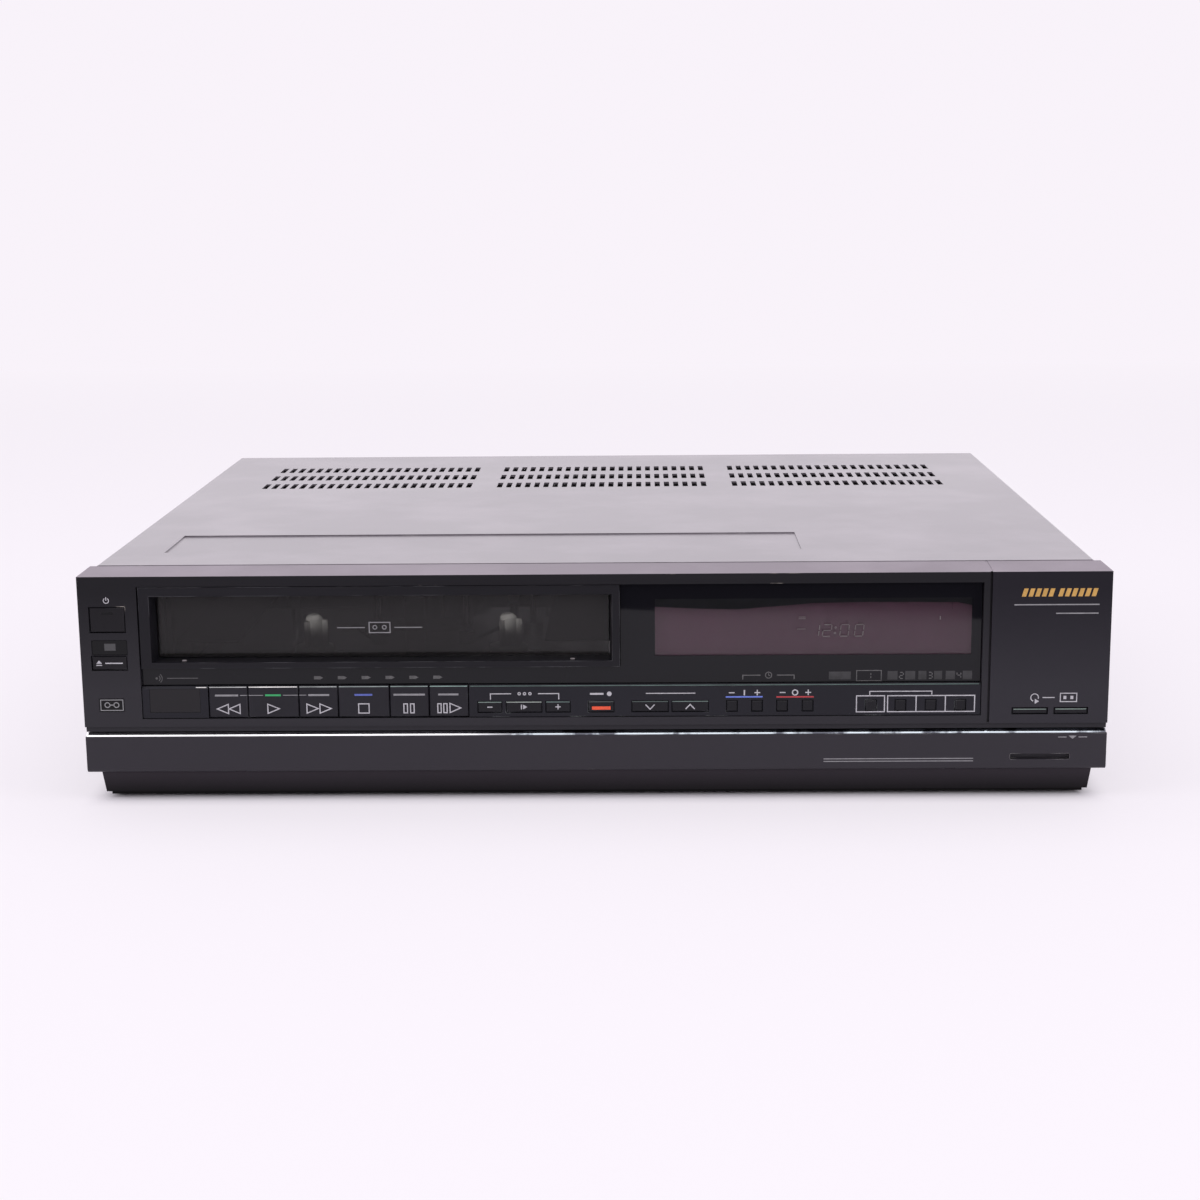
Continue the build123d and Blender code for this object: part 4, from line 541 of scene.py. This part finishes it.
def stroke(points, line, closed=False):
    """A drawn line of ink along points, with mitred corners."""
    count = len(points)
    edges = []
    for index, point in enumerate(points):
        here = Vector(point)
        ways = []
        if closed or index:
            ways.append((here - Vector(points[index - 1])).normalized())
        if closed or index < count - 1:
            ways.append((Vector(points[(index + 1) % count]) - here).normalized())
        along_both = (ways[0] + ways[-1]).normalized()
        across = Vector((-along_both.y, along_both.x))
        slant = max(0.3, across.dot(Vector((-ways[0].y, ways[0].x))))
        offset = across * (line / 2 / slant)
        edges.append((tuple(here + offset), tuple(here - offset)))
    return [
        [edges[i][0], edges[(i + 1) % count][0], edges[(i + 1) % count][1], edges[i][1]]
        for i in range(count if closed else count - 1)
    ]


def outlined(left, right, low, high, line):
    """A rectangle drawn as a closed line."""
    return stroke(bar(left, right, low, high)[0], line, True)


def arc(x, z, radius, start, end, steps):
    """Points along an arc, angles in degrees from the right, anticlockwise."""
    turns = [math.radians(start + (end - start) * i / steps) for i in range(steps + 1)]
    return [(x + radius * math.cos(turn), z + radius * math.sin(turn)) for turn in turns]


def ring(x, z, radius, line):
    """A drawn circle."""
    return stroke(arc(x, z, radius, 0, 360, 24)[:-1], line, True)


def arrow(left, right, low, high, line):
    """An outlined triangle that points from left to right, or back if they swap."""
    inset = math.copysign(line / 2, right - left)
    trim = line / 2 * 0.6
    tip = (right - inset * 2, (low + high) / 2)
    return stroke([(left + inset, low + trim), tip, (left + inset, high - trim)], line, True)


def on_front(shapes, behind):
    """Flat shapes turned into metres and set at a depth behind the bezel's face."""
    return [[(x / 1000, face_y + behind / 1000, z / 1000) for x, z in shape]
            for shape in shapes]


def printed(name, body, behind, shapes, ink):
    """Prints closed shapes on the surface that lies behind the bezel's face."""
    piece = solid_piece(name, on_front(shapes, behind), (0, -ink_height / 1000, 0), ink)
    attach(piece, body)


def print_ink(name, colour, rough=0.5, spread=0.10):
    """A printing ink whose tone breaks up finely."""
    return finish(name, colour, grain=2000, bump=0.2, rough=rough, spread=spread, cloud=300.0)


def middle(node):
    """Where the middle of a node lies across the front, in millimetres."""
    low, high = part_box(node)
    return (low.x + high.x) / 2 * 1000


white_ink = print_ink("white_ink", (0.44, 0.43, 0.46), spread=0.15)
faint_ink = print_ink("faint_ink", (0.24, 0.235, 0.25), spread=0.15)
green_ink = print_ink("green_ink", (0.03, 0.36, 0.12))
blue_ink = print_ink("blue_ink", (0.09, 0.12, 0.42))
orange_ink = print_ink("orange_ink", (0.78, 0.085, 0.03), rough=0.45)

x = middle("rewind_key")
printed("rewind_symbol", "rewind_key", cap_behind,
        arrow(x + 0.1, x - 5.3, icon_low, icon_high, fine_line)
        + arrow(x + 5.0, x - 0.3, icon_low, icon_high, fine_line), white_ink)
printed("rewind_rule", "rewind_key", cap_behind,
        bar(x - 5.6, x + 4.2, rule_low, rule_high)
        + bar(x + 5.0, x + 8.0, hair_low, hair_high), faint_ink)
x = middle("play_key")
printed("play_symbol", "play_key", cap_behind,
        arrow(x - 2.7, x + 2.8, icon_low, icon_high, fine_line), white_ink)
printed("play_rule", "play_key", cap_behind, bar(x - 3.4, x + 3.2, rule_low, rule_high),
        green_ink)
printed("play_hairlines", "play_key", cap_behind,
        bar(x - 10.3, x - 4.3, hair_low, hair_high)
        + bar(x + 4.1, x + 10.3, hair_low, hair_high), faint_ink)
x = middle("fast_forward_key")
printed("fast_forward_symbol", "fast_forward_key", cap_behind,
        arrow(x - 5.2, x + 0.2, icon_low, icon_high, fine_line)
        + arrow(x + 0.3, x + 5.7, icon_low, icon_high, fine_line), white_ink)
printed("fast_forward_rule", "fast_forward_key", cap_behind,
        bar(x - 8.0, x - 5.0, hair_low, hair_high)
        + bar(x - 4.2, x + 4.6, rule_low, rule_high), faint_ink)
x = middle("stop_key")
printed("stop_symbol", "stop_key", cap_behind,
        outlined(x - 2.3, x + 2.1, block_low, block_high + 0.1, fine_line), white_ink)
printed("stop_rule", "stop_key", cap_behind, bar(x - 3.9, x + 3.6, rule_low, rule_high),
        blue_ink)
x = middle("pause_key")
printed("pause_symbol", "pause_key", cap_behind,
        outlined(x - 2.4, x - 0.9, block_low, block_high, fine_line)
        + outlined(x + 0.4, x + 1.9, block_low, block_high, fine_line), white_ink)
printed("pause_rule", "pause_key", cap_behind, bar(x - 6.6, x + 6.6, rule_low, rule_high),
        faint_ink)
x = middle("frame_advance_key")
printed("frame_advance_symbol", "frame_advance_key", cap_behind,
        outlined(x - 4.7, x - 3.3, block_low, block_high, fine_line)
        + outlined(x - 2.2, x - 0.8, block_low, block_high, fine_line)
        + arrow(x + 0.2, x + 5.4, icon_low, icon_high, fine_line), white_ink)
printed("frame_advance_rule", "frame_advance_key", cap_behind,
        bar(x - 4.4, x + 4.1, rule_low, rule_high), faint_ink)

# ------------------------------------------- signs and rules along the key panel
# Printed on and beside the small buttons: brackets, plus and minus, on and off marks,
# the orange record bar, and white boxes round the four selector buttons.
panel_behind = 0.4
small_line, small_reach = 0.45, 1.1
sign_z, chevron_low, chevron_high = 40.5, 39.3, 41.3
bracket_foot, bracket_z, bracket_line = 43.7, 46.2, 0.4
timer_z, timer_reach = 46.2, 1.2


def minus(x, z, reach, line):
    """A minus sign."""
    return bar(x - reach, x + reach, z - line / 2, z + line / 2)


def plus(x, z, reach, line):
    """A plus sign, as five bars that share their edges."""
    half = line / 2
    return (bar(x - reach, x - half, z - half, z + half)
            + bar(x - half, x + half, z - reach, z - half)
            + bar(x - half, x + half, z - half, z + half)
            + bar(x + half, x + reach, z - half, z + half)
            + bar(x - half, x + half, z + half, z + reach))


x = middle("slow_minus_button")
printed("slow_minus_sign", "slow_minus_button", cap_behind,
        minus(x, sign_z, small_reach, small_line), white_ink)
x = middle("slow_play_button")
printed("slow_play_sign", "slow_play_button", cap_behind,
        bar(x - 1.3, x - 0.9, sign_z - 1, sign_z + 1)
        + [[(x - 0.4, sign_z - 1), (x + 1.4, sign_z), (x - 0.4, sign_z + 1)]], white_ink)
x = middle("slow_plus_button")
printed("slow_plus_sign", "slow_plus_button", cap_behind,
        plus(x, sign_z, small_reach, small_line), white_ink)
slow_marks = stroke([(-43.3, bracket_foot), (-43.3, bracket_z), (-34.6, bracket_z)],
                    bracket_line)
slow_marks += stroke([(-23.3, bracket_z), (-14.6, bracket_z), (-14.6, bracket_foot)],
                     bracket_line)
for x in (-31.2, -28.95, -26.7):
    slow_marks += ring(x, bracket_z, 0.5, 0.4)
printed("slow_bracket", "chassis", panel_behind, slow_marks, white_ink)
printed("record_dot", "chassis", panel_behind,
        [arc(6.6, 46.0, 1.0, 0, 360, 20)[:-1]] + bar(-1.5, 4.2, 45.6, 46.4), white_ink)
x = middle("record_button")
printed("record_bar", "record_button", cap_behind, bar(x - 3.9, x + 3.9, 39.2, 40.6),
        orange_ink)
for sign, start_z, tip_z in (("channel_down", chevron_high, chevron_low),
                             ("channel_up", chevron_low, chevron_high)):
    x = middle(f"{sign}_button")
    printed(f"{sign}_sign", f"{sign}_button", cap_behind,
            stroke([(x - 1.9, start_z), (x, tip_z), (x + 1.9, start_z)], small_line),
            white_ink)
printed("channel_rule", "chassis", panel_behind, bar(22.0, 42.7, 45.9, 46.3), white_ink)

red_ink = print_ink("red_ink", (0.42, 0.035, 0.045))
bright_blue = print_ink("bright_blue_ink", (0.13, 0.19, 0.62))
printed("on_underline", "chassis", panel_behind, bar(55.4, 70.8, 44.1, 44.7), bright_blue)
printed("off_underline", "chassis", panel_behind, bar(76.6, 92.2, 44.0, 44.6), red_ink)
printed("on_marks", "chassis", panel_behind,
        minus(57.9, timer_z, timer_reach, small_line)
        + bar(62.9, 63.5, timer_z - timer_reach, timer_z + timer_reach)
        + plus(68.6, timer_z, timer_reach, small_line), white_ink)
printed("off_marks", "chassis", panel_behind,
        minus(79.2, timer_z, timer_reach, small_line) + ring(84.4, timer_z, 1.1, 0.5)
        + plus(89.9, timer_z, timer_reach, small_line), white_ink)

selector_low, selector_high = 37.7, 44.6
wall_low, wall_high, wall_half = 37.93, 44.37, 0.22
selector_marks = outlined(110.1, 121.8, selector_low, selector_high, small_line)
selector_marks += outlined(123.1, 159.4, selector_low, selector_high, small_line)
for x in (135.0, 147.2):
    selector_marks += bar(x - wall_half, x + wall_half, wall_low, wall_high)
selector_marks += stroke([(115.6, 45.0), (115.6, 46.5), (141.5, 46.5), (141.5, 45.0)], 0.4)
printed("selector_boxes", "chassis", panel_behind, selector_marks, white_ink)

# -------------------------------------------------------------- painted highlights on top edges
# Painted highlights: thin bright lines along the top edges of the caps and of the key panel,
# brightest over the play key, and one white glint on the panel at the far left. Each kind of
# cap has its own inset edge and its free ends.
glint_low, glint_high = 0.42, 0.06
tall_key, row_button, side_button = (0.0, 0.3), (0.54, 0.16), (1.0, 0.16)


def rubbed(name, body, behind, left, right, top, colour):
    """A painted highlight: a thin bright line along an edge that ends at the height top."""
    paint = finish(name, colour, grain=1500, bump=0.2, rough=0.30, spread=0.30, cloud=110.0)
    printed(name, body, behind, bar(left, right, top - glint_low, top - glint_high), paint)


for node, (inset, free), colour in (
    ("rewind_key", tall_key, (0.46, 0.47, 0.46)),
    ("play_key", tall_key, (0.88, 0.87, 0.83)),
    ("fast_forward_key", tall_key, (0.36, 0.39, 0.38)),
    ("stop_key", tall_key, (0.27, 0.32, 0.31)),
    ("pause_key", tall_key, (0.24, 0.31, 0.29)),
    ("frame_advance_key", tall_key, (0.22, 0.32, 0.29)),
    ("slow_minus_button", row_button, (0.17, 0.22, 0.20)),
    ("slow_play_button", row_button, (0.32, 0.36, 0.33)),
    ("slow_plus_button", row_button, (0.12, 0.17, 0.16)),
    ("record_button", row_button, (0.060, 0.068, 0.066)),
    ("channel_down_button", row_button, (0.070, 0.095, 0.088)),
    ("channel_up_button", row_button, (0.110, 0.150, 0.138)),
    ("reset_button", side_button, (0.19, 0.25, 0.22)),
    ("memory_button", side_button, (0.19, 0.25, 0.22)),
):
    low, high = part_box(node)
    rubbed(f"{node}_edge", node, cap_behind, low.x * 1000 + inset + free,
           high.x * 1000 - inset - free, high.z * 1000 - inset, colour)
panel_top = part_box("key_panel")[1].z * 1000 - 0.1
rubbed("panel_edge", "chassis", panel_behind, -51.6, 161.0, panel_top,
       (0.085, 0.135, 0.122))
rubbed("panel_glint", "chassis", panel_behind, -167.2, -162.8, panel_top,
       (0.74, 0.73, 0.70))

# ------------------------------------------- marks under the smoked strip window
# Dim grey marks printed on the strip: numbered boxes for the selector, a bracket over
# the timer buttons, and the receiver's wave sign at the far left.
window_behind = (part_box("display_window")[0].y - face_y) * 1000
dim_ink = print_ink("dim_ink", (0.10, 0.097, 0.10), spread=0.2)
digit_lines = {"0": "abcdef", "1": "bc", "2": "abged", "3": "abgcd", "4": "fgbc"}


def digit(sign, left, low, wide, tall, line, slant=0.0):
    """A digit of seven bars of ink, with a hair of space at the end of each."""
    gap = line * 0.65
    mid, top, right = low + tall / 2, low + tall, left + wide
    spans = {
        "a": ((left + gap, top), (right - gap, top)),
        "b": ((right, mid + gap), (right, top - gap)),
        "c": ((right, low + gap), (right, mid - gap)),
        "d": ((left + gap, low), (right - gap, low)),
        "e": ((left, low + gap), (left, mid - gap)),
        "f": ((left, mid + gap), (left, top - gap)),
        "g": ((left + gap, mid), (right - gap, mid)),
    }
    drawn = []
    for key in digit_lines[sign]:
        leaned = [(x + (z - low) * slant, z) for x, z in spans[key]]
        drawn += stroke(leaned, line)
    return drawn


number_boxes = ((110.2, 120.5), (123.1, 134.7), (136.0, 145.9), (147.4, 158.4))
number_low, number_wide, number_tall = 51.5, 1.6, 2.6
marks = outlined(*number_boxes[0], 50.6, 55.0, 0.35)
for number, (left, right) in enumerate(number_boxes, 1):
    marks += digit(str(number), (left + right) / 2 - number_wide / 2, number_low,
                   number_wide, number_tall, line=0.4)
printed("selector_numbers", "chassis", window_behind, marks, dim_ink)
patches = bar(98.6, 107.8, 51.2, 54.6)
for left, right in number_boxes[1:]:
    patches += bar(left, (left + right) / 2 - 1.6, 51.0, 54.7)
    patches += bar((left + right) / 2 + 1.6, right, 51.0, 54.7)
printed("selector_patches", "chassis", window_behind, patches,
        finish("patch_ink", (0.034, 0.033, 0.036), grain=1600, bump=0.2, rough=0.5,
               spread=0.3, cloud=300.0))
printed("timer_bracket", "chassis", window_behind,
        stroke([(62.6, 51.4), (62.6, 53.2), (70.0, 53.2)], 0.4)
        + stroke([(76.9, 53.2), (84.1, 53.2), (84.1, 51.4)], 0.4)
        + ring(73.4, 53.2, 1.3, 0.35)
        + stroke([(73.4, 54.0), (73.4, 53.2), (74.1, 52.9)], 0.3), dim_ink)
lozenges = [
    [(left, 52.3), (left + 2.6, 52.3), (left + 3.9, 53.0), (left + 2.6, 53.7), (left, 53.7)]
    for left in (-117.6 + count * 10.05 for count in range(6))
]
printed("tape_run_marks", "chassis", window_behind, lozenges, dim_ink)
wave_x, wave_z = -184.0, 53.1
printed("receiver_sign", "chassis", window_behind,
        [arc(wave_x, wave_z, 0.5, 0, 360, 12)[:-1]]
        + stroke(arc(wave_x, wave_z, 1.4, -50, 50, 8), 0.3)
        + stroke(arc(wave_x, wave_z, 2.3, -50, 50, 8), 0.3)
        + bar(-179.6, -166.5, wave_z - 0.15, wave_z + 0.15), dim_ink)

# ------------------------------------------------------- display mask and digits
# Black ink on the window's back rounds off the clear field, and its wavy upper edge is a
# painted dark reflection along the top of the display; the clock's unlit digits show as faint
# pale lines on the tube's filter.
mask_ink = finish("mask_ink", (0.006, 0.006, 0.0075), grain=1200, bump=0.1, rough=0.6,
                  level=0.1)
mask_behind = (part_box("display_window")[1].y - face_y) * 1000 + ink_height + 0.02
mask_left, mask_right, mask_top, strip_left, strip_low, strip_top = (
    11.6, 161.7, 94.2, -192.9, 50.4, 57.3)
bare_left, bare_right, bare_low = 25.3, 158.8, 60.6
# Painted dark reflection: the wavy top of the bare field.
painted_reflection_edge = ((158.8, 82.2), (152.0, 83.6), (118.0, 83.9), (92.0, 83.5), (76.0, 82.2),
            (60.0, 81.0), (46.0, 81.3), (25.3, 82.3))
printed("window_mask", "chassis", mask_behind,
        bar(strip_left, mask_right, strip_low, strip_top)
        + bar(mask_left, mask_right, strip_top, bare_low)
        + bar(mask_left, bare_left, bare_low, mask_top)
        + bar(bare_right, mask_right, bare_low, mask_top)
        + [[(bare_left, mask_top), *reversed(painted_reflection_edge), (bare_right, mask_top)]], mask_ink)
tube_behind = (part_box("display_tube")[0].y - face_y) * 1000
ghost = finish("unlit_phosphor", (0.120, 0.104, 0.107), grain=1500, bump=0.1, rough=0.5,
               spread=0.2)
clock = []
for sign, left in (("1", 90.8), ("2", 95.9), ("0", 103.2), ("0", 109.3)):
    clock += digit(sign, left, low=69.0, wide=3.5, tall=5.0, line=0.4, slant=0.12)
clock += ring(101.2, 70.4, 0.3, 0.3) + ring(101.5, 72.7, 0.3, 0.3)
printed("clock_digits", "chassis", tube_behind, clock, ghost)
printed("tube_marks", "chassis", tube_behind,
        bar(86.0, 88.9, 77.1, 77.4) + bar(86.0, 88.9, 76.4, 76.7)
        + bar(85.4, 88.9, 72.0, 72.3) + bar(144.9, 145.3, 75.9, 77.3), ghost)

# --------------------------------------------------------------- door glass print
# A small cassette outline between two hairlines, printed on the smoked door.
door_behind = 9.0
mark_x, mark_z = -90.1, 73.1
hair_half, hair_near, hair_far = 0.2, 6.2, 18.0
printed("door_print", "cassette_door", door_behind,
        outlined(mark_x - 4.4, mark_x + 4.4, mark_z - 2.2, mark_z + 2.2, 0.45)
        + ring(mark_x - 2.0, mark_z + 0.1, 0.8, 0.4)
        + ring(mark_x + 2.0, mark_z + 0.1, 0.8, 0.4)
        + bar(mark_x - hair_far, mark_x - hair_near, mark_z - hair_half, mark_z + hair_half)
        + bar(mark_x + hair_near, mark_x + hair_far, mark_z - hair_half, mark_z + hair_half),
        faint_ink)

# -------------------------------------------------- bezel inserts, power and eject
# A dark plate with a grey lamp window, a bare framed plate low on the left, the eject
# sign on its button, the power sign above its own, and two lugs that stop the door.
gloss_black = finish("gloss_black", (0.006, 0.006, 0.007), grain=60, bump=0.05, rough=0.12,
                     level=0.18)
broken_edge = 0.00012


def plate(name, body, box, behind, thick, corner, paint):
    """A flat moulded insert with broken corners, seated in a recess of the front."""
    left, right, low, high = box
    outline = [
        (left + corner, low), (right - corner, low), (right, low + corner),
        (right, high - corner), (right - corner, high), (left + corner, high),
        (left, high - corner), (left, low + corner),
    ]
    piece = solid_piece(name, on_front([outline], behind), (0, -thick / 1000, 0), paint)
    edge = piece.modifiers.new("broken_edges", "BEVEL")
    edge.width = broken_edge
    edge.segments = 2
    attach(piece, body)


plate("lens_plate", "chassis", (-210.0, -195.3, 63.9, 70.0),
      behind=0.5, thick=0.35, corner=0.4, paint=gloss_black)
printed("lens_window", "chassis", 0.15, bar(-204.8, -200.1, 65.7, 68.7),
        finish("lens_grey", (0.055, 0.055, 0.058), grain=900, bump=0.1, rough=0.25))
plate("badge_plate", "chassis", (-208.2, -197.8, 39.4, 44.9),
      behind=0.3, thick=0.22, corner=0.3, paint=gloss_black)
silver_ink = finish("silver_ink", (0.30, 0.30, 0.31), grain=1800, bump=0.2, rough=0.35,
                    metal=0.6)
printed("badge_frame", "chassis", 0.08,
        outlined(-207.7, -198.3, 39.9, 44.4, 0.35)
        + ring(-204.9, 42.2, 1.05, 0.4) + ring(-201.1, 42.2, 1.05, 0.4)
        + bar(-203.7, -202.3, 42.0, 42.4), silver_ink)
printed("power_sign", "chassis", 0.0,
        stroke(arc(-203.0, 87.1, 1.1, -235, 55, 20), 0.35)
        + bar(-203.18, -202.82, 87.1, 88.6), white_ink)
printed("eject_sign", "eject_button", cap_behind,
        [[(-208.6, 60.1), (-206.2, 60.1), (-207.4, 61.5)]]
        + bar(-208.6, -206.2, 59.2, 59.6) + bar(-204.8, -197.4, 60.0, 60.5), white_ink)
lug_plastic = finish("lug_plastic", (0.30, 0.27, 0.28), grain=1500, bump=0.2, rough=0.4)
for side, left, right in (("left", -173.0, -171.2), ("right", -9.6, -7.8)):
    plate(f"door_stop_{side}", "chassis", (left, right, 60.32, 60.75),
          behind=4.0, thick=1.0, corner=0.08, paint=lug_plastic)
plate("power_lens", "power_button", (-205.4, -200.6, 81.0, 82.2),
      behind=0.35, thick=0.25, corner=0.2, paint=gloss_black)

# ------------------------------------------------------------- right-panel print
# Slanted gilt stripes with two hairlines under them, and the counter buttons' signs.
gilt_ink = finish("gilt_ink", (0.62, 0.36, 0.10), grain=1800, bump=0.2, rough=0.42,
                  metal=0.3, cloud=200.0)
stripe_step, stripe_width, stripe_lean, stripe_low, stripe_high = 2.75, 1.8, 1.0, 86.7, 90.1
stripes = []
for first, count in ((177.6, 5), (192.6, 6)):
    for left in (first + stripe_step * number for number in range(count)):
        right = left + stripe_width
        stripes.append([(left, stripe_low), (right, stripe_low),
                        (right + stripe_lean, stripe_high), (left + stripe_lean, stripe_high)])
printed("gilt_stripes", "chassis", 0.0, stripes, gilt_ink)
printed("panel_hairlines", "chassis", 0.0,
        bar(174.7, 209.8, 83.0, 83.5) + bar(192.0, 209.5, 79.3, 79.8), faint_ink)
printed("reset_sign", "chassis", 0.0,
        stroke(arc(184.3, 43.6, 1.6, -20, 250, 20), 0.4)
        + [[(184.4, 40.9), (184.4, 43.1), (186.2, 42.0)]]
        + bar(187.6, 192.6, 43.4, 43.8), white_ink)
printed("memory_sign", "chassis", 0.0,
        outlined(195.0, 201.8, 41.8, 45.4, 0.4)
        + bar(196.3, 197.5, 42.9, 44.3) + bar(199.2, 200.4, 42.9, 44.3), white_ink)

# ---------------------------------------------------------- flap and chrome strip
# Full-width satin flap with a finger slot, a bright plated strip along its top edge whose dark
# patches and white left end are painted reflections, a small opening sign and a pair of
# hairlines low on its right.
flap_paint = finish("flap_plastic", (0.026, 0.0230, 0.0300), grain=2600, bump=0.30,
                    rough=0.40, spread=0.04, cloud=5.0, edge_wear_and_glint=(0.22, 0.21, 0.21),
                    level=0.28, edge_mark_from=0.56)
dress(["flap"], flap_paint, softened=0.00025)
# The plate's colour paints its reflections: dull patches for dark surroundings, and a white
# glare that fills its left end.
plate_light, plate_painted_dark_reflection = (0.52, 0.58, 0.62), (0.10, 0.105, 0.125)
plate_painted_glare = (0.95, 0.95, 0.96)
chrome = finish("bright_plate", plate_light, grain=60, bump=0.25, rough=0.08, metal=1.0,
                cloud=110.0)
painted_reflection_ramp = next(n for n in chrome.node_tree.nodes if n.type == "VALTORGB").color_ramp
for stop, position, colour in zip(painted_reflection_ramp.elements, (0.42, 0.52), (plate_painted_dark_reflection, plate_light)):
    stop.position = position
    stop.color = (*colour, 1)
painted_glare_start_x, painted_glare_full_x = -0.030, -0.062
tint_along(chrome, "X", painted_glare_start_x, painted_glare_full_x, plate_painted_glare)
dress(["chrome_strip"], chrome)
printed("pull_sign", "flap", 0.0,
        [[(199.0, 27.1), (202.4, 27.1), (200.7, 25.7)]]
        + bar(194.7, 198.2, 26.3, 26.7) + bar(203.2, 206.8, 26.3, 26.7), faint_ink)
printed("flap_hairlines", "flap", 0.0,
        bar(96.6, 159.4, 17.2, 17.6) + bar(96.6, 159.4, 16.1, 16.5), faint_ink)

# ------------------------------------------------------------------------- finish
# The bounds of the dressed model, leaving out the studio sheets, are measured.
low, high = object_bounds()
